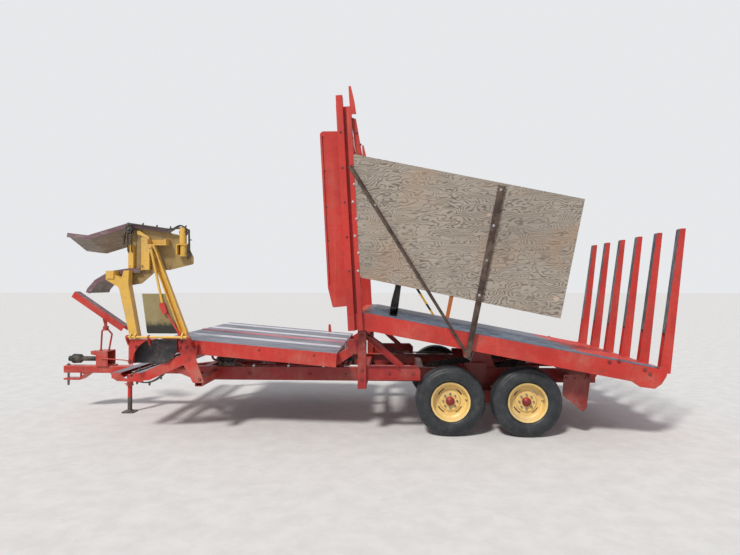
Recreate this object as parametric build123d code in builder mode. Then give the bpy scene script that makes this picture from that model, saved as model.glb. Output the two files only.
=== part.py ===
from build123d import *
import os
from math import atan2, cos, degrees, hypot, pi, radians, sin, sqrt

# Self-loading hay wagon with three tables, parked on its jack: load rack down, loader folded up.
# Millimetres: X to the rear, Y to the wagon's right, Z up. The origin is on the ground under its middle.

os.makedirs("parts", exist_ok=True)

# Fits: pins in their bores, flat seats, running space beside a moving piece
pin_gap = 0.05
seat_gap = 0.3
side_gap = 5

# Wheels
tyre_radius = 362.5
tyre_width = 240
tyre_shoulder = 38
tread_half = 58
groove_width = 9
groove_depth = 8
ring_height = 3
rim_radius = 205
bead_radius = 190
bead_half = 98
hub_radius = 52
cap_radius = 46
cap_top = 88
cap_rise = 26
spindle_radius = 25
spindle_end = 62
track_half = 900
front_wheel_x = 1240
wheel_spacing = 2 * tyre_radius + 69
nut_circle = 74
nut_count = 8
nut_radius = 11
slot_circle = 135
slot_width = 12
slot_turn = 34
rear_wheel_x = front_wheel_x + wheel_spacing
tandem_x = front_wheel_x + wheel_spacing / 2

# Load rack: its deck slopes down to the rear
rack_half = 1150
rack_front_x = 395
rack_front_z = 1293
rack_rear_x = 3295
rack_rear_z = 749
rack_depth = 176
rail_flange = 60
rail_wall = 8
frame_rear = rack_rear_x - 420
rack_pivot_x = frame_rear - 40
rack_pivot_z = 600
rack_pin_radius = 30
rack_beam_half = 560
rack_beam_wide = 60
rack_beam_depth = 146
deck_sheet = 4
band_height = 8
roller_count = 4
tine_count = 6
tine_top = 2150
tine_foot = 700
tine_base = 105
tine_tip = 58
tine_lean = 6.3
tine_wide = 66
tine_wall = 6
tine_half = rack_half - 42
rack_length = hypot(rack_rear_x - rack_front_x, rack_front_z - rack_rear_z)
rack_slope = degrees(atan2(rack_front_z - rack_rear_z, rack_rear_x - rack_front_x))

# Main frame and drawbar
frame_half = 600
frame_flange = 80
frame_depth = 150
frame_wall = 8
frame_bottom = 500
frame_front = -1640
frame_top = frame_bottom + frame_depth
frame_mid = frame_bottom + frame_depth / 2
cross_wide = 80
cross_deep = 90
cross_wall = 6
tube_corner = 9
drawbar_tip = -3545
drawbar_width = 110
drawbar_depth = 90
drawbar_bottom = 465
drawbar_wall = 8
drawbar_top = drawbar_bottom + drawbar_depth
drawbar_end = frame_front + 20
strap_thick = 20
strap_drop = 89
hitch_x = drawbar_tip + 30
hitch_pin_radius = 14
hitch_pin_bottom = 300

# Tandem
beam_half_y = 690
beam_width = 80
beam_depth = 120
beam_wall = 8
hanger_thick = 40
tandem_shaft_radius = 30

# Portal at the front of the rack, leaning forward
portal_x = 271
portal_bottom = rack_front_z - rack_depth + 3
portal_lean = 3.13
portal_length = 2315
portal_inner = rack_half - 65
portal_outer = rack_half + 40
portal_front_member = 73
portal_slit = 33
portal_flange = 47
portal_wall = 6
guide_thick = 4
guide_lip = 22
ply_outer = portal_outer - 3
ply_thick = 12
ply_length = 2438
ply_height = 1219
ply_slope = 11.66
ply_rear_top = (portal_x + 2286, rack_front_z + 1150)
stay_foot = (1390, 880)
stay_wall = 6

# Posts that carry the second table and the front of the rack
post_x = 315
post_size = 90
post_half = rack_half - 150
post_top = rack_front_z - rack_depth - 12
post_wall = 7
outrigger_depth = 110
side_rail_bottom = 590
side_rail_top = 740
wheel_gap = 33
side_rail_end = front_wheel_x - sqrt(tyre_radius**2 - (side_rail_bottom - tyre_radius) ** 2) - wheel_gap

# Second table
table_two_half = rack_half - 80
table_two_pivot_x = post_x
table_two_pivot_z = 954
table_two_front_x = -1758
table_two_nose = 120
table_two_rear_x = 55
table_two_rear_z = 871
table_two_slope = 4.9
table_two_depth = 145
table_two_wall = 7
table_two_lip = 45
table_two_pin = 22
table_arm_half = 910
table_arm_thick = 40
table_sheet = 4
strip_width = 110
strip_height = 9
strip_y = (-530, -53, 273, 836)

# First table, a trough that carries bales across
table_one_pivot_x = -1511
table_one_pivot_z = 824
table_one_front = -2345
table_one_rear = -1985
table_one_half = table_two_half + 4
table_one_top = 655
table_one_rail = 100
table_one_depth = 62
table_one_wall = 6
table_one_pin = 20
nose_thick = 24
arm_inner = table_one_half + side_gap
arm_thick = 14
bracket_inner = arm_inner + arm_thick + 7
bracket_thick = 12

# Cross chain
chain_pitch = 36
link_high = 12
drawbar_clear = 9
sprocket_teeth = 6
top_links = int(2 * (table_one_half - 120) / chain_pitch)
lug_step = 8
lug_height = 40

# Loader, folded up beside the wagon
loader_floor_y = -(bracket_inner + 10)
loader_lip_y = -(bracket_inner + 50)
loader_hinge_y = -(bracket_inner + 140)
loader_hinge_x = (-2096, -1440)
loader_hinge_z = 1050
loader_pin = 12
loader_sheet = 5
mount_outer = bracket_inner + 122
mount_circle = 240

# Jack and front gear
jack_x = -2635
jack_y = -(drawbar_width / 2 + 85)
jack_radius = 38
jack_leg_radius = 27
jack_leg_gap = 0.08
jack_leg_top = 535
jack_top = 560
jack_bottom = 330
jack_foot = 150
jack_foot_thick = 14
stand_top = 745
guide_rail_front = (-3415, 1465)
guide_rail_rear = (-2765, 1030)
guide_rail_half = 75
driveline_z = 640
pto_bore = 17.5
pto_length = 75

# Lift cylinders, each pinned at its barrel; the pin at the rod's eye is parted from its lugs
rack_barrel_pin = (1040, 520)
rack_eye_pin = (2300, 716)
rack_cylinder_y = 350
table_barrel_pin = (190, 620)
table_eye_pin = (-375, 808)
barrel_radius = 45
barrel_start = 55
gland_radius = 52
gland_length = 45
rod_radius = 22
rod_gap = 0.1
eye_radius = 34
eye_width = 40
lug_gap = 2
lug_thick = 10
cylinder_pin = 15


def block(plane, x, y, z, mode=Mode.ADD):
    """A block between two values along each axis of a plane."""
    with BuildSketch(plane.offset(z[0])) as outline:
        with Locations(((x[0] + x[1]) / 2, (y[0] + y[1]) / 2)):
            Rectangle(x[1] - x[0], y[1] - y[0])
    extrude(outline.sketch, amount=z[1] - z[0], dir=plane.z_dir, mode=mode)


def plate(plane, points, thick, mode=Mode.ADD, corners=()):
    """A plate raised from its plane: a straight-sided outline, with some numbered corners rounded."""
    with BuildSketch(plane) as outline:
        with BuildLine():
            Polyline(*points, close=True)
        make_face()
        for number, radius in corners:
            fillet(outline.vertices().sort_by_distance(Vector(*points[number]))[0], radius)
    extrude(outline.sketch, amount=thick, dir=plane.z_dir, mode=mode)


def discs(plane, centres, radius, depth, mode=Mode.ADD):
    """Round bosses or holes on a plane."""
    with BuildSketch(plane) as circles:
        with Locations(*centres):
            Circle(radius)
    extrude(circles.sketch, amount=depth, dir=plane.z_dir, mode=mode)


def rod(start, end, radius, mode=Mode.ADD):
    """A round bar from one point to another."""
    run = Vector(*end) - Vector(*start)
    discs(Plane(origin=start, z_dir=run), [(0, 0)], radius, run.length, mode)


def cross_pin(point, y, radius, mode=Mode.ADD):
    """A pin or bore across the wagon, at a point (x, z) and between two values of Y."""
    rod((point[0], y[0], point[1]), (point[0], y[1], point[1]), radius, mode)


def box_tube(plane, wide, deep, wall, length):
    """A rectangular tube that runs along the plane's normal."""
    with BuildSketch(plane) as section:
        RectangleRounded(wide, deep, tube_corner)
        Rectangle(wide - 2 * wall, deep - 2 * wall, mode=Mode.SUBTRACT)
    extrude(section.sketch, amount=length, dir=plane.z_dir)


def channel(plane, depth, flange, wall, length):
    """A channel along the plane's normal: its web stands on local Y and its flanges point along local X."""
    with BuildSketch(plane) as section:
        Rectangle(flange, depth, align=(Align.MIN, Align.CENTER))
        with Locations((wall, 0)):
            Rectangle(flange, depth - 2 * wall, align=(Align.MIN, Align.CENTER), mode=Mode.SUBTRACT)
    extrude(section.sketch, amount=length, dir=plane.z_dir)


def side_plane(y, side=-1):
    """A plane across the wagon's side: local Y is Z and its normal points to that side."""
    return Plane(origin=(0, y, 0), x_dir=(-side, 0, 0), z_dir=(0, side, 0))


def lugs(plane, x, z, centre_y):
    """The two plates of a clevis on either side of a cylinder's eye."""
    for side in (-1, 1):
        inner = centre_y + side * (eye_width / 2 + lug_gap)
        outer = inner + side * lug_thick
        block(plane, x, (min(inner, outer), max(inner, outer)), z)


def eye_stubs(point, centre_y):
    """The ends of a pin that is parted from its eye, each in its lug with a head outside."""
    for side in (-1, 1):
        inner = centre_y + side * (eye_width / 2 + lug_gap)
        cross_pin(point, (inner, inner + side * (lug_thick + 8)), cylinder_pin)
        cross_pin(point, (inner + side * lug_thick, inner + side * (lug_thick + 5)), cylinder_pin + 6)


def save(builder, name):
    """Labels a finished piece and writes it."""
    builder.part.label = name
    export_step(builder.part, f"parts/{name}.step")


def sloped_plane(x, z, slope):
    """A plane through a point (x, z) whose local X runs to the rear and down by a slope in degrees."""
    c = cos(radians(slope))
    s = sin(radians(slope))
    return Plane(origin=(x, 0, z), x_dir=(c, 0, -s), z_dir=(s, 0, c))


rack_plane = sloped_plane(rack_front_x, rack_front_z, rack_slope)
portal_plane = sloped_plane(portal_x, portal_bottom, -portal_lean)
table_plane = sloped_plane(table_two_rear_x, table_two_rear_z, table_two_slope)
table_two_length = (table_two_rear_x - table_two_front_x) / cos(radians(table_two_slope))


def local_point(plane, point):
    """A point (x, z) of the wagon's side in a sloped plane's own x and z."""
    spot = plane.to_local_coords(Vector(point[0], 0, point[1]))
    return (spot.X, spot.Z)


def side_point(plane, x, z):
    """A sloped plane's own x and z as a point (x, z) of the wagon's side."""
    spot = plane.from_local_coords(Vector(x, 0, z))
    return (spot.X, spot.Z)


# Main frame: two channels with their open sides inboard, crossmembers, and bearings for the rack's pivot
crossmember_x = (frame_front + 60, -960, post_x, 960, 2150, 2740)
with BuildPart() as main_frame:
    channel(
        Plane(origin=(frame_front, -frame_half, frame_mid), x_dir=(0, 1, 0), z_dir=(1, 0, 0)),
        frame_depth,
        frame_flange,
        frame_wall,
        frame_rear - frame_front,
    )
    block(Plane.XY, (frame_rear - 90, frame_rear), (-frame_half, 20 - frame_half), (frame_bottom, frame_top))
    cross_pin(
        (rack_pivot_x, rack_pivot_z),
        (-frame_half, 20 - frame_half),
        rack_pin_radius + pin_gap,
        Mode.SUBTRACT,
    )
    gusset_y = frame_wall - frame_half
    for x in (frame_front + 60 + cross_wide / 2, 960 + cross_wide / 2, 2150 + cross_wide / 2):
        plate(
            Plane.XY.offset(frame_bottom + frame_wall),
            [(x, gusset_y), (x + 110, gusset_y), (x, gusset_y + 110)],
            frame_wall,
        )
    mirror(about=Plane.XZ)
    for x in crossmember_x:
        box_tube(
            Plane(origin=(x, gusset_y, frame_mid), x_dir=(1, 0, 0), z_dir=(0, 1, 0)),
            cross_wide,
            cross_deep,
            cross_wall,
            -2 * gusset_y,
        )
    cross_pin(rack_barrel_pin, (gusset_y, -gusset_y), cylinder_pin)
    lugs(
        Plane(origin=(table_barrel_pin[0], 0, table_barrel_pin[1])),
        (-28, post_x - cross_wide / 2 - table_barrel_pin[0]),
        (-28, 28),
        0,
    )
    table_pin_half = eye_width / 2 + lug_gap + lug_thick + 6
    cross_pin(table_barrel_pin, (-table_pin_half, table_pin_half), cylinder_pin)
save(main_frame, "main_frame")

# Drawbar: a tube under the first table, a cranked strap below its tip and folded braces to the frame
strap_bottom = drawbar_bottom - strap_drop
strap_top = strap_bottom + strap_thick
brace_front = -2120
with BuildPart() as drawbar:
    drawbar_mid = (drawbar_bottom + drawbar_top) / 2
    box_tube(
        Plane(origin=(drawbar_tip, 0, drawbar_mid), x_dir=(0, 1, 0), z_dir=(1, 0, 0)),
        drawbar_width,
        drawbar_depth,
        drawbar_wall,
        drawbar_end - drawbar_tip,
    )
    plate(
        side_plane(drawbar_width / 2),
        [
            (drawbar_tip, strap_bottom),
            (drawbar_tip + 220, strap_bottom),
            (drawbar_tip + 345, drawbar_bottom),
            (drawbar_tip + 285, drawbar_bottom),
            (drawbar_tip + 205, strap_top),
            (drawbar_tip, strap_top),
        ],
        drawbar_width,
        corners=((0, 8), (1, 40), (4, 25)),
    )
    web = [(185, strap_top), (212, strap_top), (295, drawbar_bottom), (185, drawbar_bottom)]
    plate(side_plane(6), [(drawbar_tip + x, z) for x, z in web], 12)
    cross_pin((drawbar_tip + 217, drawbar_bottom - 27), (-6, 6), 13, Mode.SUBTRACT)
    rod((hitch_x, 0, strap_bottom), (hitch_x, 0, drawbar_top), hitch_pin_radius + pin_gap, Mode.SUBTRACT)
    brace_bottom = frame_bottom + 2
    for side in (-1, 1):
        with BuildSketch(Plane.XY.offset(brace_bottom)) as brace:
            with BuildLine():
                Polyline(
                    (brace_front + 100, side * drawbar_width / 2),
                    (frame_front, side * (frame_half - 90)),
                    (frame_front, side * frame_half),
                    (brace_front, side * drawbar_width / 2),
                    close=True,
                )
            make_face()
        extrude(brace.sketch, amount=50)
        with BuildSketch(Plane.XY.offset(brace_bottom)) as hollow:
            add(brace.sketch.faces()[0].moved(Location((0, 0, -brace_bottom))))
            offset(amount=-frame_wall, mode=Mode.REPLACE)
        extrude(hollow.sketch, amount=50 - frame_wall, mode=Mode.SUBTRACT)
    block(
        Plane.XY,
        (jack_x - 60, jack_x + 60),
        (jack_y + jack_radius - 2, -drawbar_width / 2),
        (drawbar_bottom + 10, drawbar_top - 10),
    )
    rod(
        (jack_x, jack_y, drawbar_bottom),
        (jack_x, jack_y, drawbar_top),
        jack_radius + seat_gap,
        Mode.SUBTRACT,
    )
save(drawbar, "drawbar")

with BuildPart() as hitch_pin:
    rod((hitch_x, 0, hitch_pin_bottom), (hitch_x, 0, drawbar_top), hitch_pin_radius)
    chamfer(hitch_pin.faces().sort_by(Axis.Z)[0].edges(), 4)
    rod((hitch_x, 0, drawbar_top), (hitch_x, 0, drawbar_top + 12), 24)
    rod((hitch_x, 0, drawbar_top + 12), (hitch_x, 0, drawbar_top + 24), 10)
save(hitch_pin, "hitch_pin")

# Drop-leg jack: an open sleeve on the drawbar's side, held at its height by a pin
with BuildPart() as jack_tube:
    rod((jack_x, jack_y, jack_bottom), (jack_x, jack_y, jack_top), jack_radius)
    rod((jack_x, jack_y, jack_bottom), (jack_x, jack_y, jack_bottom + 14), jack_radius + 5)
    pin_z = jack_bottom + 34
    rod((jack_x, jack_y, pin_z), (jack_x, jack_y - jack_radius - 40, pin_z), 9)
    rod((jack_x - 32, jack_y - jack_radius - 32, pin_z), (jack_x + 12, jack_y - jack_radius - 32, pin_z), 6)
    rod(
        (jack_x, jack_y, jack_bottom),
        (jack_x, jack_y, jack_top),
        jack_leg_radius + jack_leg_gap,
        Mode.SUBTRACT,
    )
save(jack_tube, "jack_tube")

with BuildPart() as jack_leg:
    rod((jack_x, jack_y, jack_foot_thick), (jack_x, jack_y, jack_leg_top), jack_leg_radius)
    with BuildSketch(Plane(origin=(jack_x, jack_y, 0))):
        RectangleRounded(jack_foot, jack_foot, 20)
    extrude(amount=jack_foot_thick)
    with BuildSketch(Plane(origin=(jack_x, jack_y, jack_foot_thick))):
        Circle(jack_leg_radius + 12)
    extrude(amount=18, taper=25)
save(jack_leg, "jack_leg")

# Walking beams: fabricated arms deepest at their shaft, with a boss at each spindle
with BuildPart() as walking_beams:
    beam_plane = side_plane(-beam_half_y + beam_width / 2)
    tip = beam_depth / 2 - 14
    plate(
        beam_plane,
        [
            (front_wheel_x, tyre_radius - tip),
            (tandem_x, tyre_radius - beam_depth / 2 - 8),
            (rear_wheel_x, tyre_radius - tip),
            (rear_wheel_x, tyre_radius + tip),
            (tandem_x, tyre_radius + beam_depth / 2 + 8),
            (front_wheel_x, tyre_radius + tip),
        ],
        beam_width,
    )
    plate(
        beam_plane.offset(beam_width / 2 + beam_wall / 2),
        [
            (front_wheel_x + 75, tyre_radius - tip + beam_wall),
            (tandem_x - 75, tyre_radius - beam_depth / 2),
            (tandem_x - 75, tyre_radius + beam_depth / 2),
            (front_wheel_x + 75, tyre_radius + tip - beam_wall),
        ],
        beam_width,
        Mode.SUBTRACT,
    )
    plate(
        beam_plane.offset(beam_width / 2 + beam_wall / 2),
        [
            (tandem_x + 75, tyre_radius - beam_depth / 2),
            (rear_wheel_x - 75, tyre_radius - tip + beam_wall),
            (rear_wheel_x - 75, tyre_radius + tip - beam_wall),
            (tandem_x + 75, tyre_radius + beam_depth / 2),
        ],
        beam_width,
        Mode.SUBTRACT,
    )
    discs(beam_plane, [(front_wheel_x, tyre_radius), (rear_wheel_x, tyre_radius)], tip, beam_width)
    discs(beam_plane, [(tandem_x, tyre_radius)], beam_depth / 2 + 4, beam_width)
    for x in (front_wheel_x, rear_wheel_x):
        cross_pin((x, tyre_radius), (-beam_half_y, -track_half - spindle_end), spindle_radius)
        cross_pin((x, tyre_radius), (-beam_half_y - beam_width / 2, -beam_half_y - beam_width / 2 - 25), 36)
    mirror(about=Plane.XZ)
    cross_pin((tandem_x, tyre_radius), (-beam_half_y, beam_half_y), tandem_shaft_radius)
save(walking_beams, "walking_beams")

# Hangers under the frame that hold the tandem's shaft, with a side plate and its spacer
with BuildPart() as tandem_hangers:
    hanger_plane = side_plane(hanger_thick - frame_half)
    plate(
        hanger_plane,
        [
            (tandem_x - 200, frame_bottom),
            (tandem_x + 200, frame_bottom),
            (tandem_x + 72, tyre_radius - 60),
            (tandem_x - 72, tyre_radius - 60),
        ],
        hanger_thick,
        corners=((2, 60), (3, 60)),
    )
    discs(
        hanger_plane,
        [(tandem_x - 110, frame_bottom - 42), (tandem_x + 110, frame_bottom - 42)],
        22,
        hanger_thick,
        Mode.SUBTRACT,
    )
    cross_pin(
        (tandem_x, tyre_radius),
        (-frame_half, hanger_thick - frame_half),
        tandem_shaft_radius + pin_gap,
        Mode.SUBTRACT,
    )
    side_plate = [(-222, 721), (31, 719), (53, 498), (-57, 486), (-167, 618)]
    plate(
        side_plane(-frame_half - 42),
        [(tandem_x + x, z) for x, z in side_plate],
        8,
        corners=((0, 20), (1, 20), (3, 15)),
    )
    block(Plane.XY, (tandem_x - 110, tandem_x + 20), (-frame_half - 42, -frame_half), (540, 600))
    mirror(about=Plane.XZ)
save(tandem_hangers, "tandem_hangers")

# Wheels: a grooved tyre with ringed side walls, and a dished rim with four slots, wheel nuts and a domed cap
half = tyre_width / 2
groove_places = (-44, -15, 15, 44)
tread = [(tyre_radius, tread_half)]
for place in reversed(groove_places):
    tread += [
        (tyre_radius, place + groove_width / 2),
        (tyre_radius - groove_depth, place + groove_width / 2 - 2),
        (tyre_radius - groove_depth, place - groove_width / 2 + 2),
        (tyre_radius, place - groove_width / 2),
    ]
tread += [(tyre_radius, -tread_half)]
seat = bead_radius + seat_gap
dome_radius = (cap_radius**2 + cap_rise**2) / (2 * cap_rise)
dome_turn = degrees(atan2(cap_radius, dome_radius - cap_rise))
wheel_places = (
    ("front_left", front_wheel_x, -1),
    ("front_right", front_wheel_x, 1),
    ("rear_left", rear_wheel_x, -1),
    ("rear_right", rear_wheel_x, 1),
)
for place, wheel_x, side in wheel_places:
    centre = (wheel_x, side * track_half, tyre_radius)
    wheel_plane = Plane(origin=centre, x_dir=(1, 0, 0), z_dir=(0, side, 0))
    wheel_axis = Axis(centre, (0, 1, 0))
    with BuildPart() as tyre:
        with BuildSketch(Plane(origin=centre, x_dir=(1, 0, 0), z_dir=(0, 0, 1))):
            with BuildLine():
                Polyline(
                    (rim_radius + 12, -99),
                    (seat, 10 - bead_half),
                    (seat, bead_half - 10),
                    (rim_radius + 12, 99),
                )
                for end in (1, -1):
                    ThreePointArc(
                        (rim_radius + 12, end * 99),
                        ((rim_radius + tyre_radius) / 2, end * half),
                        (tyre_radius - tyre_shoulder, end * (half - 14)),
                    )
                    ThreePointArc(
                        (tyre_radius - tyre_shoulder, end * (half - 14)),
                        (tyre_radius - 9, end * (half - 30)),
                        (tyre_radius, end * tread_half),
                    )
                Polyline(*tread)
            make_face()
            for end in (1, -1):
                for ring_radius, outward in ((rim_radius + 26, half - 13), (tyre_radius - 62, half - 5)):
                    with Locations((ring_radius, end * outward)):
                        Rectangle(7, 2 * ring_height)
        revolve(axis=wheel_axis)
    save(tyre, f"tyre_{place}")
    with BuildPart() as rim:
        bore = spindle_radius + pin_gap
        with BuildSketch(Plane(origin=centre, x_dir=(1, 0, 0), z_dir=(0, 0, side))):
            with BuildLine():
                Polyline(
                    (bead_radius, -2 - bead_half),
                    (rim_radius, -108),
                    (rim_radius, -101),
                    (bead_radius, 9 - bead_half),
                    (bead_radius, bead_half - 9),
                    (rim_radius, 101),
                    (rim_radius, 108),
                    (bead_radius - 6, bead_half),
                    (bead_radius - 14, 34),
                    (bead_radius - 30, 24),
                    (118, 24),
                    (100, 42),
                    (cap_radius, 42),
                    (cap_radius, cap_top - cap_rise),
                )
                CenterArc((0, cap_top - dome_radius), dome_radius, 90 - dome_turn, dome_turn)
                Polyline(
                    (0, cap_top),
                    (0, spindle_end + seat_gap),
                    (bore, spindle_end + seat_gap),
                    (bore, -40),
                    (hub_radius, -40),
                    (hub_radius, 28),
                    (98, 28),
                    (116, 12),
                    (bead_radius - 26, 12),
                    (bead_radius - 8, 26),
                    (bead_radius - 8, 10 - bead_half),
                    (bead_radius, -2 - bead_half),
                )
            make_face()
        revolve(axis=wheel_axis)
        with BuildSketch(wheel_plane):
            for turn in range(45, 405, 90):
                with BuildLine() as slot_line:
                    CenterArc((0, 0), slot_circle, turn - slot_turn / 2, slot_turn)
                SlotArc(slot_line.edge(), slot_width)
        extrude(amount=60, mode=Mode.SUBTRACT)
        with BuildSketch(wheel_plane.offset(42)):
            with PolarLocations(nut_circle, nut_count):
                RegularPolygon(nut_radius, 6)
        extrude(amount=14)
    save(rim, f"rim_{place}")

# Posts with their outrigger beam, front bracket, brace and side rail; the second table swings on their pins
with BuildPart() as table_posts:
    box_tube(
        Plane(origin=(post_x, -post_half, frame_bottom), z_dir=(0, 0, 1)),
        post_size,
        post_size,
        post_wall,
        post_top - frame_bottom,
    )
    block(
        Plane.XY,
        (post_x - post_size / 2, post_x + post_size / 2),
        (-post_half - post_size / 2, -post_half + post_size / 2),
        (post_top - 5, post_top),
    )
    box_tube(
        Plane(
            origin=(post_x, -post_half + post_size / 2 - 1, frame_bottom + outrigger_depth / 2),
            x_dir=(1, 0, 0),
            z_dir=(0, 1, 0),
        ),
        post_size,
        outrigger_depth,
        post_wall,
        post_half - post_size / 2 + 1 - frame_half,
    )
    front = post_x - post_size / 2
    plate(
        side_plane(-post_half + 20),
        [(front, 1013), (front - 87, 1013), (front - 115, 975), (front - 77, 858), (front, 860)],
        40,
        corners=((1, 12), (2, 12)),
    )
    back = post_x + post_size / 2
    brace_plane = side_plane(-post_half + 25)
    brace_foot = side_rail_top - 30
    brace = [(back, post_top - 6), (back, post_top - 92), (700, brace_foot), (792, brace_foot)]
    plate(brace_plane, brace, 6)
    inner_edge = [brace[1], brace[2], (brace[2][0] + 12, brace[2][1]), (brace[1][0], brace[1][1] + 10)]
    plate(brace_plane, inner_edge, 50)
    rail_top = [
        (back, side_rail_bottom),
        (side_rail_end, side_rail_bottom),
        (side_rail_end, side_rail_top - 45),
        (side_rail_end - 45, side_rail_top),
        (back, side_rail_top),
    ]
    plate(side_plane(-post_half + 10), rail_top, 8)
    block(
        Plane.XY,
        (back, side_rail_end - 45),
        (-post_half - 20, -post_half + 10),
        (side_rail_top - 8, side_rail_top),
    )
    block(
        Plane.XY,
        (back, side_rail_end),
        (-post_half - 20, -post_half + 10),
        (side_rail_bottom, side_rail_bottom + 8),
    )
    block(Plane.XY, (790, 860), (-post_half + 8, -frame_half), (side_rail_bottom, frame_top))
    pivot = (table_two_pivot_x, table_two_pivot_z)
    cross_pin(pivot, (-post_half - post_size / 2, -table_arm_half + table_arm_thick / 2 + 12), table_two_pin)
    cross_pin(pivot, (-post_half - post_size / 2 - 10, -post_half - post_size / 2), table_two_pin + 12)
    cross_pin(
        pivot,
        (-post_half + post_size / 2, -table_arm_half - table_arm_thick / 2 - 6),
        table_two_pin + 10,
    )
    mirror(about=Plane.XZ)
save(table_posts, "table_posts")

# Rests on the frame that carry the rack's beams
rest_x = tandem_x
rack_fall = (rack_front_z - rack_rear_z) / (rack_rear_x - rack_front_x)
beam_underside = rack_beam_depth / cos(radians(rack_slope))


def rest_height(x):
    """How high the underside of the rack's beams is at a place."""
    return rack_front_z - (x - rack_front_x) * rack_fall - beam_underside


with BuildPart() as rack_rests:
    saddle = [(rest_x - 62, rest_height(rest_x - 62)), (rest_x + 62, rest_height(rest_x + 62))]
    plate(
        side_plane(20 - rack_beam_half),
        [(rest_x - 150, frame_top), (rest_x + 150, frame_top), saddle[1], saddle[0]],
        40,
    )
    plate(
        side_plane(rack_beam_wide / 2 - rack_beam_half),
        [saddle[0], (saddle[0][0], saddle[0][1] - 12), (saddle[1][0], saddle[1][1] - 12), saddle[1]],
        rack_beam_wide,
    )
    block(
        Plane.XY,
        (rest_x - 170, rest_x + 170),
        (-frame_half, 40 - rack_beam_half),
        (frame_top, frame_top + 8),
    )
    mirror(about=Plane.XZ)
save(rack_rests, "rack_rests")

# Splash plates behind the wheels, each on an arm from the frame
with BuildPart() as rear_plates:
    splash = [(2432, 644), (2418, 423), (2631, 248), (2667, 304), (2702, 563), (2648, 640)]
    plate(side_plane(-track_half), splash, 6, corners=((0, 10), (2, 14), (4, 40), (5, 25)))
    block(Plane.XY, (2440, 2640), (-track_half, -track_half + 30), (frame_top - 36, frame_top - 30))
    box_tube(
        Plane(origin=(2560, -track_half, frame_mid - 5), x_dir=(1, 0, 0), z_dir=(0, 1, 0)),
        60,
        60,
        6,
        track_half - frame_half,
    )
    mirror(about=Plane.XZ)
save(rear_plates, "rear_plates")

# Bearing plates of the first table on their outriggers; the left one also holds the loader's rear hinge
bracket_outline = [
    (-1620, 1010),
    (-1400, 990),
    (-1420, 800),
    (-1330, 560),
    (-1450, 560),
    (-1560, 760),
]
with BuildPart() as table_brackets:
    plate(
        side_plane(-bracket_inner),
        bracket_outline,
        bracket_thick,
        corners=((0, 25), (1, 25), (3, 15), (4, 15)),
    )
    box_tube(
        Plane(origin=(-1395, -bracket_inner, frame_mid - 10), x_dir=(1, 0, 0), z_dir=(0, 1, 0)),
        cross_wide,
        cross_deep,
        cross_wall,
        bracket_inner - frame_half,
    )
    cross_pin(
        (table_one_pivot_x, table_one_pivot_z),
        (-bracket_inner - bracket_thick - 8, -bracket_inner - bracket_thick),
        table_one_pin + 18,
    )
    cross_pin(
        (table_one_pivot_x, table_one_pivot_z),
        (-bracket_inner - bracket_thick - 8, -bracket_inner),
        table_one_pin + pin_gap,
        Mode.SUBTRACT,
    )
    mirror(about=Plane.XZ)
    plate(
        Plane(origin=(-1460, 0, 0), x_dir=(0, 1, 0), z_dir=(1, 0, 0)),
        [
            (-bracket_inner - bracket_thick, 930),
            (-bracket_inner - bracket_thick, 990),
            (loader_hinge_y + 18, loader_hinge_z + 20),
            (loader_hinge_y - 22, loader_hinge_z + 20),
            (loader_hinge_y - 22, loader_hinge_z - 20),
        ],
        14,
        corners=((3, 16), (4, 16)),
    )
    rod(
        (-1470, loader_hinge_y, loader_hinge_z),
        (-1440, loader_hinge_y, loader_hinge_z),
        loader_pin + pin_gap,
        Mode.SUBTRACT,
    )
save(table_brackets, "table_brackets")

# Loader mount: a dark back plate, a bright outer plate with a curved cut, and two hinge lugs
mount_y = bracket_inner + bracket_thick
mount_front = -2083
mount_rear = -1625
mount_bottom = 765
mount_top = 1022
mount_sheet = 10
with BuildPart() as loader_mount:
    plate(
        side_plane(-bracket_inner),
        [
            (mount_front, mount_top),
            (mount_rear, 1010),
            (mount_rear, 880),
            (-1720, mount_bottom),
            (mount_front, mount_bottom),
        ],
        bracket_thick,
        corners=((2, 30), (3, 30)),
    )
    block(
        Plane.XY,
        (mount_front, mount_front + mount_sheet),
        (-mount_outer, -mount_y),
        (mount_bottom, mount_top),
    )
    block(Plane.XY, (mount_front, -1830), (-mount_outer, -mount_y), (mount_top - mount_sheet, mount_top))
    with BuildSketch(side_plane(mount_sheet - mount_outer)) as outer_plate:
        with Locations(((mount_front - 1830) / 2, (mount_bottom + mount_top) / 2)):
            Rectangle(-1830 - mount_front, mount_top - mount_bottom)
        with Locations((-1800, mount_bottom + 25)):
            Circle(mount_circle, mode=Mode.SUBTRACT)
    extrude(outer_plate.sketch.faces().sort_by(SortBy.AREA)[-1], amount=mount_sheet, dir=(0, -1, 0))
    for x in (loader_hinge_x[0], -1870):
        plate(
            Plane(origin=(x, 0, 0), x_dir=(0, 1, 0), z_dir=(1, 0, 0)),
            [
                (-mount_outer + mount_sheet, 960),
                (-mount_outer + mount_sheet, mount_top),
                (loader_hinge_y + 18, loader_hinge_z + 20),
                (loader_hinge_y - 22, loader_hinge_z + 20),
                (loader_hinge_y - 22, loader_hinge_z - 20),
            ],
            14,
            corners=((3, 16), (4, 16)),
        )
    rod(
        (loader_hinge_x[0] - 20, loader_hinge_y, loader_hinge_z),
        (loader_hinge_x[1], loader_hinge_y, loader_hinge_z),
        loader_pin + pin_gap,
        Mode.SUBTRACT,
    )
save(loader_mount, "loader_mount")

# Front guide rail: a folded trough on a tapered bracket and two rods
rail_run = Vector(guide_rail_rear[0] - guide_rail_front[0], 0, guide_rail_rear[1] - guide_rail_front[1])


def rail_height(x):
    """How high the guide rail's upper edge is at a place along it."""
    return guide_rail_front[1] + (x - guide_rail_front[0]) * rail_run.Z / rail_run.X


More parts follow.
